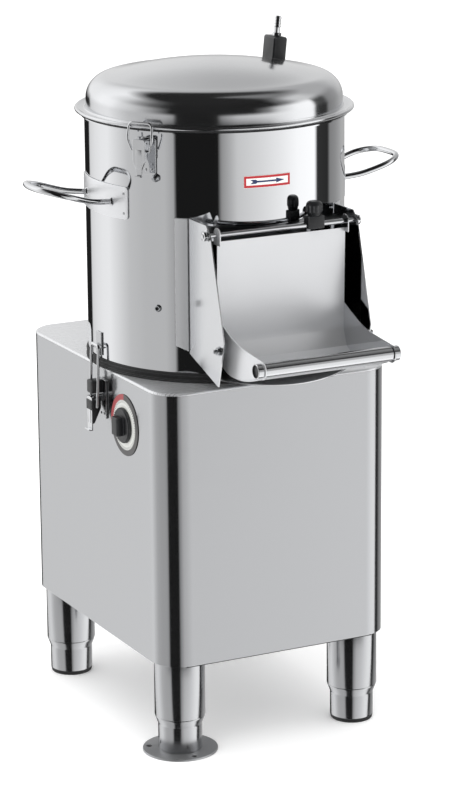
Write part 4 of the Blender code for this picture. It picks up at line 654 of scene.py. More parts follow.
def makeCabinet():
    bm = roundedBox(baseLow, baseHigh)
    bmesh.ops.delete(bm, geom=[f for f in bm.faces if abs(f.normal.z) > 0.5], context="FACES")
    faceOut(bm)
    bmesh.ops.solidify(bm, geom=bm.faces[:], thickness=sheet)
    shell = finish("cabinetShell", bm, "brushedSheet", "cabinet", "base_shell")
    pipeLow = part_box("drain_pipe")[0]
    pipe = Vector((centreOf("drain_pipe").x, baseHigh.y, pipeLow.z + cabinet["pipe"]))
    gland = centreOf("cable_gland")
    gland.y = baseHigh.y
    spindle = centreOf("timer_knob")
    spindle.x = baseLow.x
    reach = cabinet["reach"]
    cutWith(shell, [roundBar(cabinet["pipeHole"], pipe, (0, reach, 0)),
        roundBar(cabinet["glandHole"], gland, (0, reach, 0)),
        roundBar(cabinet["spindleHole"], spindle, (reach, 0, 0))])
    # A black strip under the front wall paints the shadow line at its foot
    deep, tall = cabinet["strip"]
    length = baseHigh.x - baseLow.x - 2 * (cabinet["corner"] - cabinet["stripPast"])
    middle = Vector(((baseLow.x + baseHigh.x) / 2, baseLow.y + deep / 2 + cabinet["stripIn"],
        baseLow.z - tall / 2))
    finish("frontShadowStrip", block((length, deep, tall), middle, fineEdge), "blackRubber", "cabinet")

    top, high = panelLow.copy(), panelHigh.copy()
    top.z = baseHigh.z + gap
    high.z = top.z + cabinet["panel"]
    bm = roundedBox(top, high)
    lip = [e for e in bm.edges if e.calc_face_angle(0) > 1 and min(v.co.z for v in e.verts) > high.z - 1e-5]
    soften(bm, lip, cabinet["panelEdge"], 5, False)
    panel = finish("topPanel", bm, "brushedTop", "cabinet", "top_panel", angle=50)
    drain = Vector((pipe.x, pipeLow.y + cabinet["pipe"], high.z))
    cutWith(panel, [roundBar(cabinet["shaftHole"], drumAxis + Vector((0, 0, high.z)), (0, 0, reach)),
        roundBar(cabinet["drainHole"], drain, (0, 0, reach))])
    inner, outer = cabinet["collar"]
    foot = high.z - cabinet["collarSink"]
    collar = [(outer, panelHigh.z), (inner, panelHigh.z), (inner, foot), (outer, foot)]
    finish("panelCollar", spin(collar, closed=True, matrix=drumPlace, edge=softEdge), "brushedSheet",
        "cabinet")

    low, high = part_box("drum_seal")
    inner, outer = seal["inner"], (high.x - low.x) / 2
    waist, lip = outer - seal["waist"], (high.z - low.z) * seal["lip"]
    ring = [(inner, high.z), (outer - seal["top"], high.z), (outer, high.z - lip),
        (waist, high.z - lip * seal["lipUnder"]), (waist, low.z + lip),
        (outer, low.z + lip * seal["footRise"]), (outer, low.z), (inner, low.z)]
    finish("drumSeal", spin(ring, closed=True, matrix=drumPlace, edge=softEdge), "blackRubber", "cabinet",
        "drum_seal")


legs = {"radius": 0.03, "wall": 0.002, "foot": 0.026, "play": 0.0005, "stemWall": 0.003, "step": 0.0012,
    "shoulderTop": 0.0444, "shoulderBottom": 0.034, "rubberInset": 0.0008, "rubberEdge": (0.001, 0.0012),
    "edge": 0.0005, "footEdge": 0.0006, "endEdge": 0.0004}
flange = {"radius": 0.0445, "thick": 0.0027, "hole": 0.0035, "circle": 0.037, "holes": 3,
    "firstHole": 0.25, "plug": (0.0033, 0.0002, 0.0012), "edge": 0.0005}


def makeFlange(where):
    radius, thick = flange["radius"], flange["thick"]
    disc = [(0, thick), (radius, thick), (radius, 0), (0, 0)]
    piece = finish("floorFlange", spin(disc, legSteps, matrix=where, edge=flange["edge"]), "blastedPlate",
        "foot_front_left", "floor_flange")
    holes = []
    pads = bmesh.new()
    plugRadius, low, high = flange["plug"]
    for i in range(flange["holes"]):
        angle = tau * (i + flange["firstHole"]) / flange["holes"]
        spot = where.translation + flange["circle"] * Vector((cos(angle), sin(angle), 0))
        holes.append(roundBar(flange["hole"], spot, (0, 0, cabinet["reach"]), holeSteps))
        spin([(0, high), (plugRadius, high), (plugRadius, low), (0, low)], holeSteps, bm=pads,
            matrix=shift(spot))
    cutWith(piece, holes)
    # Black discs in the screw holes paint the shade that fills them
    finish("flangeShadePlugs", pads, "blackRubber", "foot_front_left")


def makeLegs():
    for place in ("front_left", "rear_left", "front_right", "rear_right"):
        low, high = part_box(f"leg_{place}")
        where = shift(((low.x + high.x) / 2, (low.y + high.y) / 2, 0))
        radius, wall = legs["radius"], legs["wall"]
        bore, ceiling = radius - wall, high.z - wall
        tube = [(0, high.z), (radius, high.z), (radius, low.z), (bore, low.z), (bore, ceiling),
            (0, ceiling)]
        label = "".join(word.capitalize() for word in place.split("_"))
        finish(f"leg{label}", spin(tube, legSteps, matrix=where, edge=legs["edge"]), "brushedTube",
            "cabinet", f"leg_{place}")
        footLow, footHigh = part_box(f"foot_{place}")
        foot, stem, brim = legs["foot"], bore - legs["play"], radius - legs["play"]
        hollow, top = stem - legs["stemWall"], legs["shoulderTop"]
        outline = [(0, top), (hollow, top), (hollow, footHigh.z), (stem, footHigh.z), (stem, top),
            (brim, top), (brim, top - legs["step"]), (foot, legs["shoulderBottom"]), (foot, footLow.z),
            (0, footLow.z)]
        finish(f"foot{label}", spin(outline, legSteps, matrix=where, edge=legs["footEdge"], angle=15),
            "brushedTube", f"foot_{place}", f"foot_{place}")
        if place == "front_left":
            makeFlange(where)
            continue
        high, tip = footLow.z - gap, foot - legs["rubberInset"]
        inset, rise = legs["rubberEdge"]
        end = [(0, high), (foot, high), (tip, rise), (tip - inset, 0), (0, 0)]
        finish(f"rubberEnd{label}", spin(end, legSteps, matrix=where, edge=legs["endEdge"]), "blackRubber",
            f"foot_{place}", f"rubber_end_{place}")


# Drum and lid

# The rivet and the nut are given by angle, height and radius
drum = {"rim": 0.157, "openHalf": 0.083, "openLow": 0.0264, "openHigh": 0.1554,
    "rivet": (-52.3, 0.5286, 0.00425), "nut": (-52.4, 0.6807, 0.005), "nutHeight": 0.0028}
# Profiles as (share of the radius, height)
rivetRing = ((0.45, 0.0022), (0.72, 0.0024), (1, 0.001), (1, 0), (0.45, 0))
rivetPin = ((0, 0.0008), (0.42, 0.0008), (0.42, 0), (0, 0))
nutDome = ((0, 0.0062), (0.45, 0.0056), (0.76, 0.0042), (0.88, 0.0024), (0.88, 0))


def shares(profile, radius):
    return [(radius * share, height) for share, height in profile]


def makeDrum():
    inner, rim, under = drumRadius - sheet, drum["rim"], drumTop - sheet
    wall = [(inner, drumTop), (rim, drumTop), (rim, under), (drumRadius, under), (drumRadius, drumFoot),
        (inner, drumFoot)]
    shell = finish("drumShell", spin(wall, closed=True, matrix=drumPlace), "mirrorSheet", "drum",
        "drum_shell")
    height = drum["openHigh"] - drum["openLow"]
    centre = drumAxis + Vector((0, -drumRadius, drumFoot + drum["openLow"] + height / 2))
    cutWith(shell, [block((2 * drum["openHalf"], drumRadius, height), centre)])

    angle, z, radius = drum["rivet"]
    at = drumFrame(angle, drumRadius, z) @ outward
    finish("hollowRivet",
        spin(shares(rivetRing, radius), boltSteps, closed=True, matrix=at, edge=fineEdge), "turnedSteel",
        "drum")
    finish("rivetCore", spin(shares(rivetPin, radius), holeSteps, matrix=at), "blackRubber", "drum")
    angle, z, radius = drum["nut"]
    at = drumFrame(angle, drumRadius, z) @ outward
    bm = spin(shares(nutDome, radius), boltSteps, matrix=at)
    height = drum["nutHeight"]
    hexagon(radius, height, bm, at @ shift((0, 0, height / 2)))
    finish("domeNut", bm, "turnedSteel", "drum")


lid = {"brim": 0.1643, "bead": 0.0021, "wall": 0.151, "shoulder": 0.027, "shoulderStart": 0.0175,
    "crownEdge": 0.1235, "crownEdgeHeight": 0.0443, "top": 0.0601, "skirt": 0.006, "skirtPlay": 0.0012,
    "crownSteps": 12, "shoulderEnd": 86, "fillet": 0.003, "gasketEdge": (0.0006, 0.0008),
    "liningIn": 0.0008}
inlet = {"place": (0.11, 0.06, 0.04), "lean": 6, "foot": (-0.001, -0.004, 0.0323), "bore": 0.0022,
    "stem": 0.0034, "tip": 0.024, "barbs": 4, "firstBarb": 0.0232, "barbStep": 0.0034, "barb": 0.0042,
    "barbLength": 0.0022, "barbGap": 0.0005, "nut": (0.0056, 0.004), "edge": 0.0008}


def makeLid():
    gasketLow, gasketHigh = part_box("lid_gasket")
    rim, outer, skirt = gasketHigh.z + gap, drum["rim"], drumRadius - sheet
    deep, tall = lid["gasketEdge"]
    ring = [(skirt, gasketHigh.z), (outer - deep, gasketHigh.z), (outer, gasketHigh.z - tall),
        (outer, gasketLow.z + tall), (outer - deep, gasketLow.z), (skirt, gasketLow.z)]
    finish("lidGasket", spin(ring, closed=True, matrix=drumPlace), "blackRubber", "lid", "lid_gasket")
    top, edge, radius = drumTop + lid["top"], drumTop + lid["crownEdgeHeight"], lid["crownEdge"]
    wall, shoulder, start = lid["wall"], lid["shoulder"], drumTop + lid["shoulderStart"]
    steps, bend, fillet, bead = lid["crownSteps"], lid["shoulderEnd"], lid["fillet"], lid["bead"]
    crown = [(radius * i / steps, top - (top - edge) * (i / steps) ** 2) for i in range(steps)]
    outside = [*crown, *arcPoints((wall - shoulder, start), shoulder, bend, 0, 12),
        *arcPoints((wall + fillet, rim + sheet + fillet), fillet, 180, 270, 4),
        *arcPoints((lid["brim"] - bead, rim + bead), bead, 150, -90, 8)]
    skirt -= lid["skirtPlay"]
    foot = rim - lid["skirt"]
    inside = [(skirt, rim), (skirt, foot), (skirt - sheet, foot), (min(skirt, wall) - sheet, start)]
    within = arcPoints((wall - shoulder - lid["liningIn"], start), shoulder - sheet, 0, bend, 12)[1:]
    ceiling = [(r, z - sheet) for r, z in reversed(crown)]
    bm = spin([*outside, *inside, *within, *ceiling], matrix=drumPlace)
    finish("lidShell", bm, "spunCover", "lid", "lid", angle=55)

    dress("water_inlet_block", "blackNylon", "lid", "inletBlock", inlet["edge"])
    place = shift(drumAxis + Vector(inlet["place"]) + Vector((0, 0, drumTop)))
    foot = place @ Matrix.Rotation(radians(inlet["lean"]), 4, "Y") @ shift(inlet["foot"])
    bore, stem = inlet["bore"], inlet["stem"]
    barb = [(bore, inlet["tip"]), (stem, inlet["tip"])]
    for i in range(inlet["barbs"]):
        z = inlet["firstBarb"] - i * inlet["barbStep"] - inlet["barbLength"]
        barb += [(inlet["barb"], z), (stem, z - inlet["barbGap"])]
    radius, height = inlet["nut"]
    bm = spin([*barb, (stem, height), (bore, height)], smallSteps, closed=True, matrix=foot)
    hexagon(radius, height, bm, foot @ shift((0, 0, height / 2)))
    finish("hoseBarb", bm, "brightSteel", "lid", "hose_barb", 25)


label = {"start": -14.3, "end": 7.3, "frame": 0.0027, "film": 0.0005, "ink": 0.00006, "edge": 0.0003}
# The arrow's corners as (share of the half length, height from its middle)
arrow = (((-0.6, -0.001), (0.42, -0.001), (0.42, 0.001), (-0.6, 0.001)),
    ((0.36, -0.0027), (0.74, 0), (0.36, 0.0027)),
    ((-0.74, -0.0024), (-0.5, -0.0024), (-0.4, 0), (-0.5, 0.0024), (-0.74, 0.0024), (-0.62, 0)))


def labelPatch(outlines, lift, thick, name, material, replaced=None):
    bm = bmesh.new()
    for outline in outlines:
        thickFace(bm, [(x, lift, z) for x, z in outline], (0, thick, 0))
    wrapRound(bm, drumRadius + gap, radians(label["start"] + label["end"]) / 2)
    finish(name, bm, material, "drum", replaced, angle=30)


def makeLabel():
    low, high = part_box("arrow_label")
    half = radians(label["end"] - label["start"]) / 2 * (drumRadius + gap)
    bottom, top = low.z, high.z
    film, ink, edge, width = label["film"], label["ink"], label["edge"], label["frame"]
    labelPatch([[(-half, bottom), (half, bottom), (half, top), (-half, top)]], 0, film, "labelFilm",
        "whiteVinyl", "arrow_label")
    left, right, bottom, top = -half + edge, half - edge, bottom + edge, top - edge
    bars = [((left, bottom), (right, bottom + width)), ((left, top - width), (right, top)),
        ((left, bottom + width), (left + width, top - width)),
        ((right - width, bottom + width), (right, top - width))]
    labelPatch([[(x0, z0), (x1, z0), (x1, z1), (x0, z1)] for (x0, z0), (x1, z1) in bars], film, ink,
        "labelFrame", "redInk")
    middle = (low.z + high.z) / 2
    labelPatch([[(half * x, middle + z) for x, z in ring] for ring in arrow], film + ink, ink,
        "labelArrow", "blueInk")


# Chute and flap

chute = {"half": 0.095, "cheekEdge": 0.0005, "hinge": (0.169, 0.1699),
    "flange": {"wide": 0.015, "low": 0.026, "high": 0.181, "cut": 0.006}, "rod": 0.003, "rodPast": 0.0063,
    "rodEdge": (0.0004, 0.0005), "washer": (0.003, 0.0068, 0.0006), "nut": (0.006, 0.0045, 0.0029),
    "bolt": {"reach": 0.198, "z": 0.4975, "head": (0.0046, 0.003, 0.0021), "washer": (0.0056, 0.0006)}}
boltEnd = ((0, 0.0078), (0.0018, 0.0075), (0.0025, 0.0066), (0.0025, 0.002), (0, 0.002))


def chutePoint(x, reach, z):
    return drumAxis + Vector((x, -reach, z))


def onCheek(side, reach, z, lift=0.0):
    at = shift(chutePoint(side * (chute["half"] + lift), reach, z))
    return at @ Matrix.Rotation(radians(90 * side), 4, "Y")


def makeChute():
    dress("cheek_left", "polishedSheet", "drum", "cheekLeft", chute["cheekEdge"])
    dress("cheek_right", "mirrorSheet", "drum", "cheekRight", chute["cheekEdge"])
    dress("chute_floor", "polishedSheet", "drum", "chuteFloor")
    # The cover is painted nearly black, for the shade in the open gap over the flap
    dress("chute_cover", "paintedShadeSheet", "drum", "chuteCover")
    radius, strip = drumRadius + gap, chute["flange"]
    start = asin((chute["half"] + gap) / radius) * radius
    end, low, high = start + strip["wide"], drumFoot + strip["low"], drumFoot + strip["high"]
    for sign, name in ((-1, "Left"), (1, "Right")):  # the strip that each cheek is welded on by
        bm = bmesh.new()
        ring = ((start, low), (end, low + strip["cut"]), (end, high), (start, high))
        thickFace(bm, [(sign * x, 0, z) for x, z in ring], (0, sheet, 0))
        wrapRound(bm, radius)
        finish(f"cheekFlange{name}", bm, "satinSheet", "drum", angle=30)
    reach, z = chute["hinge"][0], drumFoot + chute["hinge"][1]
    half, radius = chute["half"] + chute["rodPast"], chute["rod"]
    inset, back = chute["rodEdge"]
    bar = [(0, half), (radius - inset, half), (radius, half - back), (radius, -half + back),
        (radius - inset, -half), (0, -half)]
    bm = spin(bar, smallSteps, matrix=shift(chutePoint(0, reach, z)) @ sideways)
    bore, rim, thick = chute["washer"]
    nutRadius, nutHeight, nutLift = chute["nut"]
    for side in (-1, 1):
        at = onCheek(side, reach, z, gap)
        spin([(bore, thick), (rim, thick), (rim, 0), (bore, 0)], boltSteps, closed=True, bm=bm, matrix=at)
        hexagon(nutRadius, nutHeight, bm, at @ shift((0, 0, nutLift)))
    finish("hingeRod", bm, "brightSteel", "drum", "hinge_rod")
    bolt = chute["bolt"]
    radius, height, lift = bolt["head"]
    rim, thick = bolt["washer"]
    for side, name in ((-1, "Left"), (1, "Right")):
        at = onCheek(side, bolt["reach"], bolt["z"])
        bm = hexagon(radius, height, None, at @ shift((0, 0, lift)))
        spin([(0, thick), (rim, thick), (rim, 0), (0, 0)], boltSteps, bm=bm, matrix=at)
        spin(boltEnd, boltSteps, bm=bm, matrix=at)
        finish(f"cheekBolt{name}", bm, "turnedSteel", "drum")


# Points are (reach from the drum's axis, height over its foot)
flap = {"half": 0.083, "top": 0.1619, "bend": (0.1665, 0.0454), "sideTop": (0.167, 0.0704),
    "scoop": ((0.1705, 0.0254), (0.193, 0.0152), (0.222, 0.0144), (0.248, 0.0188), (0.27, 0.0259)),
    "middle": (0.22, 0.0519), "tube": (0.277, 0.0364), "tubeRadius": 0.00875, "tubeWall": 0.0012,
    "tubeHalf": 0.0905, "tubeEdge": 0.0005, "seat": 0.0106, "ear": 0.008, "earDrop": 0.012,
    "bendRadius": 0.004, "plug": (0.0018, 0.0024, 0.008), "plugPlay": (0.0005, 0.0001)}


def flat(point):
    return Vector((*point, 0))


def makeFlap():
    hingeReach, hingeZ = chute["hinge"]
    half = flap["half"] - sheet / 2
    scoop = throughPoints([flat(p) for p in flap["scoop"]], 6)
    straight = [flat((hingeReach, flap["top"])), flat(flap["sideTop"]), flat(flap["bend"]), scoop[0]]
    outline = [*rounded(straight, flap["bendRadius"], 4)[:-1], *scoop[1:]]
    bm = bmesh.new()
    verts = [bm.verts.new(chutePoint(-half, p.x, drumFoot + p.y)) for p in outline]
    run = [bm.edges.new(pair) for pair in zip(verts, verts[1:])]
    push(bm, bmesh.ops.extrude_edge_only(bm, edges=run), (2 * half, 0, 0))
    faceOut(bm)
    bmesh.ops.solidify(bm, geom=bm.faces[:], thickness=sheet)
    finish("flapSheet", bm, "satinSheet", "flap", "discharge_flap", angle=20)
    seat = arcPoints(flap["tube"], flap["seat"], -90, 90, 14)
    inner = rounded([flat(seat[-1]), flat(flap["middle"]), flat(flap["sideTop"])], 0.02, 6)
    side = [(p.x, p.y) for p in outline[1:]] + seat + [(p.x, p.y) for p in inner[1:-1]]
    reach, drop = flap["ear"], hingeZ - flap["earDrop"]
    ear = arcPoints((hingeReach, hingeZ), reach, 0, 180, 14)
    ear += [(hingeReach - reach, drop), (hingeReach + reach, drop)]
    for sign, name, look in ((-1, "Left", "satinSheet"), (1, "Right", "mirrorSheet")):
        x = sign * flap["half"]
        bm = plate([chutePoint(x, r, drumFoot + z) for r, z in side], (-sign * sheet, 0, 0))
        plate([chutePoint(x, r, drumFoot + z) for r, z in ear], (-sign * sheet, 0, 0), bm=bm)
        finish(f"flapSide{name}", bm, look, "flap", angle=18)

    radius, end, edge = flap["tubeRadius"], flap["tubeHalf"], flap["tubeEdge"]
    bore = radius - flap["tubeWall"]
    tube = [(bore, end), (radius - edge, end), (radius, end - edge), (radius, -end + edge),
        (radius - edge, -end), (bore, -end)]
    tubeReach, tubeZ = flap["tube"]
    turn = shift(chutePoint(0, tubeReach, drumFoot + tubeZ)) @ sideways
    finish("flapTube", spin(tube, 72, closed=True, matrix=turn), "brightSteel", "flap", "flap_handle",
        angle=40)
    # Each end of the tube gets a recessed black cap, which also paints the shade in its bore
    face, chamfer, back = (end - depth for depth in flap["plug"])
    faceRadius, plugRadius = (bore - play for play in flap["plugPlay"])
    plug = [(0, face), (faceRadius, face), (plugRadius, chamfer), (plugRadius, back), (0, back)]
    for side, name in ((1, "Right"), (-1, "Left")):
        bm = spin([(r, side * z) for r, z in plug], smallSteps, matrix=turn)
        finish(f"flapTubeShadePlug{name}", bm, "blackNylon", "flap")


lock = {"x": 0.042, "width": 0.021, "depth": 0.0125, "below": 0.0045, "above": 0.0105, "blockEdge": 0.0014,
    "knob": 0.0095, "knobHeight": 0.0165, "dome": 0.55, "waist": (0.94, 0.004), "foot": 0.8,
    "pin": (0.003, 0.0034), "ribs": 12, "rib": (0.0016, 0.0011, 0.0072), "ribIn": 0.0006, "ribRise": 0.008,
    "ribEdge": 0.0004}


def makeLock():
    hingeReach, hingeZ = chute["hinge"]
    z = drumFoot + hingeZ
    height = lock["below"] + lock["above"]
    centre = chutePoint(lock["x"], hingeReach, z - lock["below"] + height / 2)
    finish("lockBlock", block((lock["width"], lock["depth"], height), centre, lock["blockEdge"]),
        "blackNylon", "drum", "lock_block")
    radius, top, (pin, deep) = lock["knob"], lock["knobHeight"], lock["pin"]
    dome = radius * lock["dome"]
    share, waist = lock["waist"]
    outline = [(0, top), *arcPoints((radius - dome, top - dome), dome, 90, 0, 7), (radius * share, waist),
        (radius * lock["foot"], 0), (pin, 0), (pin, -deep), (0, -deep)]
    at = shift(chutePoint(lock["x"], hingeReach, z + lock["above"] + gap))
    bm = spin(outline, 64, matrix=at, edge=softEdge)
    for i in range(lock["ribs"]):  # ribs with finger grooves between them
        turn = at @ Matrix.Rotation(tau * i / lock["ribs"], 4, "Z")
        block(lock["rib"], (radius - lock["ribIn"], 0, lock["ribRise"]), lock["ribEdge"], 2, bm, turn)
    finish("lockKnob", bm, "blackNylon", "lock_knob", "lock_knob")


# Handles and latches

handle = {"wire": 0.0035, "height": 0.1914, "half": 0.034, "root": 0.004, "strip": 0.004,
    "collarIn": 0.0001, "route": ((0.025, 0.0385, 0.0033), (0.058, 0.0415, 0.013), (0.0775, 0.027, 0.018)),
    "tip": (0.0825, 0.0185), "plateAngle": 23, "below": 0.018, "above": 0.02, "corner": 0.004,
    "collar": ((-0.0002, 0.0022), (0.0007, 0.0011), (0.0014, 0), (-0.0002, 0)),
    "dots": ((0.9, 0.6), (0.9, -0.55), (-0.9, 0.6), (-0.9, -0.55)),
    "dot": ((0, 0.0004), (0.0012, 0.0003), (0.0018, 0), (0, 0))}


def makeHandles():
    z = drumFoot + handle["height"]
    radius = drumRadius + gap
    for side, angle in (("left", -90), ("right", 90)):
        name = side.capitalize()
        bm = bmesh.new()
        ring = roundedOutline(radians(handle["plateAngle"]) * radius, z - handle["below"],
            z + handle["above"], handle["corner"])
        thickFace(bm, [(x, 0, height) for x, height in ring], (0, sheet, 0))
        faceOut(bm)
        soften(bm, sharpEdges(bm), softEdge, clamp=False)
        wrapRound(bm, radius, radians(angle), handle["strip"])
        finish(f"handlePlate{name}", bm, "satinSheet", "drum", angle=30)
        frameAt = drumFrame(angle, 0, z)
        wall = sqrt((radius + sheet) ** 2 - handle["half"] ** 2)
        right = [Vector((handle["half"], -wall + handle["root"], 0)), Vector((handle["half"], -wall, 0))]
        right += [Vector((h, -(drumRadius + out), rise)) for out, h, rise in handle["route"]]
        reach, rise = handle["tip"]
        route = throughPoints([*right, Vector((0, -(drumRadius + reach), rise)), *mirrored(right)], 10)
        bm = wire(route, handle["wire"], frameAt, 8)
        collar = [(handle["wire"] + out, height) for out, height in handle["collar"]]
        for sign in (-1, 1):  # weld collar at each root
            at = shift((sign * handle["half"], -wall - handle["collarIn"], 0)) @ outward
            spin(collar, boltSteps, closed=True, bm=bm, matrix=frameAt @ at)
        finish(f"handleWire{name}", bm, "brightSteel", "drum", f"drum_handle_{side}")
        bm = bmesh.new()
        for along, up in handle["dots"]:
            at = drumFrame(angle + along * handle["plateAngle"], radius + sheet, z + up * handle["above"])
            spin(handle["dot"], dotSteps, bm=bm, matrix=at @ outward)
        finish(f"handleWelds{name}", bm, "turnedSteel", "drum")


# A latch's lever is (half width, top, bottom) round its pin
lidLatch = {"angles": {"left": -57, "right": 123}, "pivotOut": 0.0115, "drop": 0.013,
    "plate": (0.013, -0.0375, 0.0055), "lever": (0.0085, 0.005, -0.0385), "leverOut": 0.0055,
    "leverBack": 0.004, "tail": 0.42, "shadedCheeks": False, "ear": 0.0055, "loopLow": -0.009, "wire": 0.0015,
    "half": 0.0162, "rise": 0.0323, "overBrim": 0.0008}
baseLatch = {"angles": {"left": -90, "right": 90}, "pivotOut": 0.0115, "drop": 0.0375,
    "plate": (0.014, -0.0245, 0.0225), "lever": (0.007, 0.0025, -0.0385), "leverOut": 0.0055,
    "leverBack": 0.0035, "tail": 0.88, "shadedCheeks": True, "ear": 0.005, "loopLow": -0.009, "wire": 0.0018,
    "half": 0.0098, "rise": 0.0735, "keeperOut": 0.0063, "housing": (0.0065, 0.0225),
    "housingEdge": 0.0018,
    "grip": {"past": 0.0004, "deep": 0.0022, "tall": 0.012, "z": -0.0072, "in": 0.0004, "edge": 0.0007}}
latch = {"corner": 0.003, "earRadius": 0.0034,
    "rivet": ((0, 0.0011), (0.0009, 0.001), (0.0017, 0.0004), (0.0019, 0), (0, 0)),
    "rivets": ((0.62, 0.006), (-0.62, 0.006), (0, 0.0055)), "pin": 0.0016, "pinPast": 0.0006,
    "faceEdge": 0.0004, "ribEdge": 0.00048, "cheek": 0.8, "loopBend": 0.0035}


def makeLever(name, node, kind, at):
    half, top, bottom = kind["lever"]
    out, tail, back = kind["leverOut"], kind["tail"], kind["leverBack"]
    # Shares of the half width and heights, from the top's middle down to the tail
    corners = ((0, top), (1, top), (0.94, top - 0.026), (tail + 0.06, top - 0.034), (tail, bottom),
        (0, bottom))
    face = rounded([(half * w, -out, z) for w, z in corners], 0.003, 4)
    bm = plate([*face, *mirrored(face[1:-1])], (0, sheet, 0), latch["faceEdge"])
    cheeks = bmesh.new() if kind["shadedCheeks"] else bm
    for sign in (-1, 1):
        x, front = sign * half, -out + 0.0002
        profile = [(x, front, top - 0.001), (x, back, top - 0.002), (x, back, -0.004),
            (x, -out + 0.0045, top - 0.016), (x * 0.93, -out + 0.0026, top - 0.026),
            (x * 0.93, front, top - 0.026)]
        if kind["shadedCheeks"]:  # black cheeks that paint the shade on the lever's sides, deep at the pin and narrowing down the lever
            profile = [(x, front, top), (x, back + 0.003, top), (x, back + 0.003, -0.011),
                (x, -out + 0.0035, -0.029), (x, front, -0.03)]
        plate(profile, (-sign * sheet * latch["cheek"], 0, 0), bm=cheeks)
    if kind["shadedCheeks"]:
        finish(f"{name}ShadedCheeks", addTo(None, cheeks, at), "blackNylon", node)
    # The finger lip turned out at the lower end, and a pressed rib along the face
    lip = rounded([(0, -out + sheet, bottom + 0.0006), (0, -out - 0.0004, bottom + 0.0002),
        (0, -out - 0.004, bottom + 0.0012)], 0.0015, 4)
    lipRow = lip + [p + Vector((0, 0.0002, 0.0012)) for p in reversed(lip)]
    plate([Vector((-half * tail, p.y, p.z)) for p in lipRow], (2 * half * tail, 0, 0), fineEdge, bm)
    rib = (half * 0.9, 0.001, (top - bottom) * 0.5)
    block(rib, (0, -out - 0.0001, (top + bottom) / 2 - 0.001), latch["ribEdge"], 3, bm)
    addTo(bm, roundBar(latch["pin"], (0, 0, 0), (half + latch["pinPast"], 0, 0), dotSteps))
    finish(name, addTo(None, bm, at), "brightSteel", node, node, angle=18)


def makeLatchPlate(name, node, kind, at, back, body, look):
    half, low, high = kind["plate"]
    ring = roundedOutline(half, low, high, latch["corner"])
    bm = plate([(x, back, z) for x, z in ring], (0, -sheet, 0))
    radius = latch["earRadius"]
    ear = [(back, radius), *arcPoints((0, 0), radius, 90, 270, 12), (back, -radius)]
    for sign in (-1, 1):
        plate([(sign * kind["ear"], y, z) for y, z in ear], (-sign * sheet, 0, 0), fineEdge, bm)
    for share, z in latch["rivets"]:
        spot = shift((half * share, back - sheet, low + z)) @ outward
        spin(latch["rivet"], dotSteps, bm=bm, matrix=spot)
    finish(name, addTo(None, bm, at), look, body, node, angle=18)


def makeLoop(name, node, kind, at, right):
    route = rounded([*right, *mirrored(right)], latch["loopBend"])
    bm = wire([p + Vector((0, 0, kind["loopLow"])) for p in route], kind["wire"], at)
    finish(name, bm, "brightSteel", node, node)


def makeLidLatches():
    for side, angle in lidLatch["angles"].items():
        name = side.capitalize()
        out = lidLatch["pivotOut"]
        at = drumFrame(angle, drumRadius + out, drumTop - lidLatch["drop"])
        makeLatchPlate(f"lidLatchPlate{name}", f"lid_latch_base_{side}", lidLatch, at, out - gap, "drum",
            "brightSteel")
        makeLever(f"lidLatchLever{name}", f"lid_latch_lever_{side}", lidLatch, at)
        half, rise = lidLatch["half"], lidLatch["rise"]
        shoulder = drumRadius + out - (lid["brim"] + lidLatch["overBrim"])
        start = lidLatch["lever"][0] + gap
        right = [Vector(p) for p in ((start, 0, 0), (start + 0.003, 0, 0), (half, -0.003, rise * 0.42),
            (half * 0.95, shoulder, rise * 0.88), (half * 0.78, shoulder, rise))]
        makeLoop(f"lidLatchBail{name}", f"lid_latch_bail_{side}", lidLatch, at, right)


def makeBaseLatches():
    for side, angle in baseLatch["angles"].items():
        name = side.capitalize()
        reach = (baseHigh.x - baseLow.x) / 2 + baseLatch["pivotOut"]
        at = drumFrame(angle, reach, baseHigh.z + gap + cabinet["panel"] - baseLatch["drop"])
        back, out = baseLatch["pivotOut"] - gap, baseLatch["leverOut"]
        makeLatchPlate(f"baseLatchPlate{name}", f"base_latch_body_{side}", baseLatch, at, back, "cabinet",
            "brushedSheet")
        half, wall = baseLatch["lever"][0], back - sheet / 2
        start, end = baseLatch["housing"]
        size = (2 * half, out + wall, end - start)
        bm = block(size, (0, (wall - out) / 2, (start + end) / 2), baseLatch["housingEdge"], matrix=at)
        finish(f"baseLatchHousing{name}", bm, "blackNylon", "cabinet")
        lever = f"base_latch_lever_{side}"
        makeLever(f"baseLatchLever{name}", lever, baseLatch, at)
        grip = baseLatch["grip"]
        size = (2 * (half + grip["past"]), grip["deep"], grip["tall"])
        bm = block(size, (0, grip["in"] - out, grip["z"]), grip["edge"], matrix=at)
        finish(f"baseLatchGrip{name}", bm, "blackNylon", lever)
        wide, rise = baseLatch["half"], baseLatch["rise"]
        shoulder = reach - (drumRadius + baseLatch["keeperOut"])
        right = [Vector(p) for p in ((half + gap, 0, 0), (wide, 0, 0), (wide, 0.001, rise * 0.2),
            (wide, shoulder, rise))]
        makeLoop(f"baseLatchLoop{name}", f"base_latch_loop_{side}", baseLatch, at, right)
        dress(f"keeper_{side}", "brushedSheet", "drum", f"keeper{name}", softEdge)


# Timer, services and the inside

timer = {"knob": 0.021, "skirt": 0.0045, "skirtEdge": (0.0014, 0.0016), "standoff": 0.0015,
    "grip": (0.0225, 0.0155, 0.0085), "gripEdge": 0.0021}


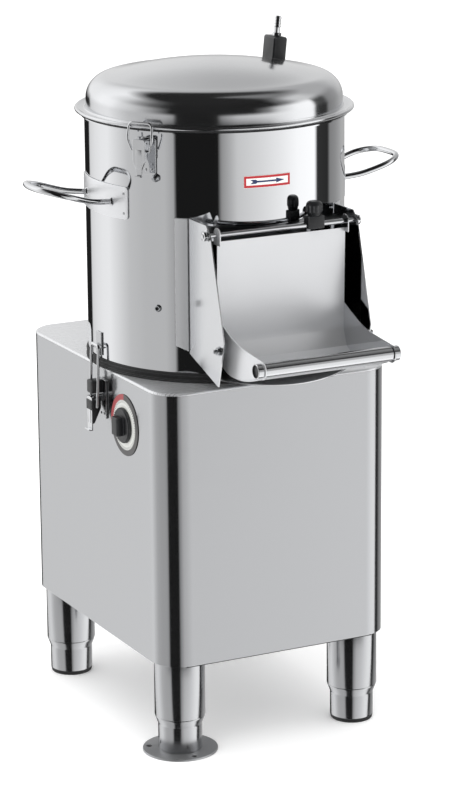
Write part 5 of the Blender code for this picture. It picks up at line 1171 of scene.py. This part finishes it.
def makeTimer():
    low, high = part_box("dial_plate")
    centre = (low + high) / 2
    thick, radius, bore = high.x - low.x, dial["radius"], dial["bore"]
    turn = Matrix.Rotation(radians(-90), 4, "Y")
    face = shift((high.x, centre.y, centre.z)) @ turn
    ring = [(bore, thick), (radius - gap, thick), (radius, thick - gap), (radius, 0), (bore, 0)]
    finish("dialPlate", spin(ring, legSteps, closed=True, matrix=face), "printedDial", "cabinet",
        "dial_plate")
    at = shift((baseLow.x - timer["standoff"], centre.y, centre.z)) @ turn
    radius, skirt = timer["knob"], timer["skirt"]
    inset, drop = timer["skirtEdge"]
    outline = [(0, skirt), (radius - inset, skirt), (radius, skirt - drop), (radius, 0), (0, 0)]
    bm = spin(outline, legSteps, matrix=at, edge=softEdge)
    # Local X points down and Y forward once the knob is turned to face the side
    length, width, depth = timer["grip"]
    tall = depth + skirt / 2
    block((length, width, tall), (0, 0, (skirt + tall) / 2), timer["gripEdge"], 4, bm, at)
    finish("timerKnob", bm, "blackNylon", "timer_knob", "timer_knob")


services = {"pipe": 0.018, "pipeWall": 0.0015, "bend": 0.04, "past": 0.01, "nut": (0.011, 0.0055, 0.0031),
    "cap": (0.011, 0.0075, 0.0125), "cord": 0.007, "reach": 0.03}
glandProfile = ((0.004, 0.022), (0.0065, 0.022), (0.0085, 0.019), (0.0092, 0.012), (0.0092, 0.0008),
    (0.008, 0.0003), (0.008, -0.005), (0.004, -0.005))


def makeServices():
    low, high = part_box("drain_pipe")
    radius, bend, past = services["pipe"], services["bend"], services["past"]
    x, level, start = (low.x + high.x) / 2, low.z + radius, low.y + radius
    turns = [radians(90 * i / 12) for i in range(13)]
    elbow = [(x, start + bend * (1 - cos(a)), level + bend * (1 - sin(a))) for a in turns]
    route = [(x, start, high.z), *elbow, (x, high.y, level)]
    pipe = finish("drainPipe", wire(route, radius, None, 10), "greyPvc", "cabinet", "drain_pipe")
    bore = [Vector(route[0]) + Vector((0, 0, past)), *route[1:-1], Vector(route[-1]) + Vector((0, past, 0))]
    cutWith(pipe, [wire(bore, radius - services["pipeWall"], None, 10)])

    middle = centreOf("cable_gland")
    middle.y = baseHigh.y
    at = shift(middle) @ Matrix.Rotation(radians(-90), 4, "X")
    bm = spin(glandProfile, 40, closed=True, matrix=at, edge=fineEdge)
    finish("cableGland", bm, "blackNylon", "cabinet", "cable_gland")
    nuts = bmesh.new()
    for key in ("nut", "cap"):
        radius, height, lift = services[key]
        hexagon(radius, height, nuts, at @ shift((0, 0, lift)))
    nuts = finish("cableGlandNuts", nuts, "blackNylon", "cabinet")
    cutWith(nuts, [roundBar(services["cord"], middle, (0, services["reach"], 0), boltSteps)])


inside = {"abrasive_disc": "corundumGrit", "abrasive_liner": "corundumGrit", "base_floor": "brushedSheet",
    "bearing_housing": "castIron", "drive_belt": "blackRubber", "drive_pulley": "castIron",
    "drive_shaft": "turnedSteel", "motor": "motorEnamel", "motor_pulley": "castIron",
    "timer_body": "blackNylon"}


def makeInside():
    for node, material in inside.items():
        nodes[node].data.materials.clear()
        nodes[node].data.materials.append(materials[material])


makeCamera()
makeWorld()
makeLamps()
makeFloor()
makeMaterials()
print("camera, light and materials made")
makeCabinet()
makeLegs()
print("cabinet and legs made")
makeDrum()
makeLid()
makeLabel()
print("drum and lid made")
makeChute()
makeFlap()
makeLock()
print("chute, flap and lock made")
makeHandles()
makeLidLatches()
makeBaseLatches()
print("handles and latches made")
makeTimer()
makeServices()
makeInside()
print("timer, services and inside made")

view = bpy.context.scene.view_settings
view.view_transform = "Standard"
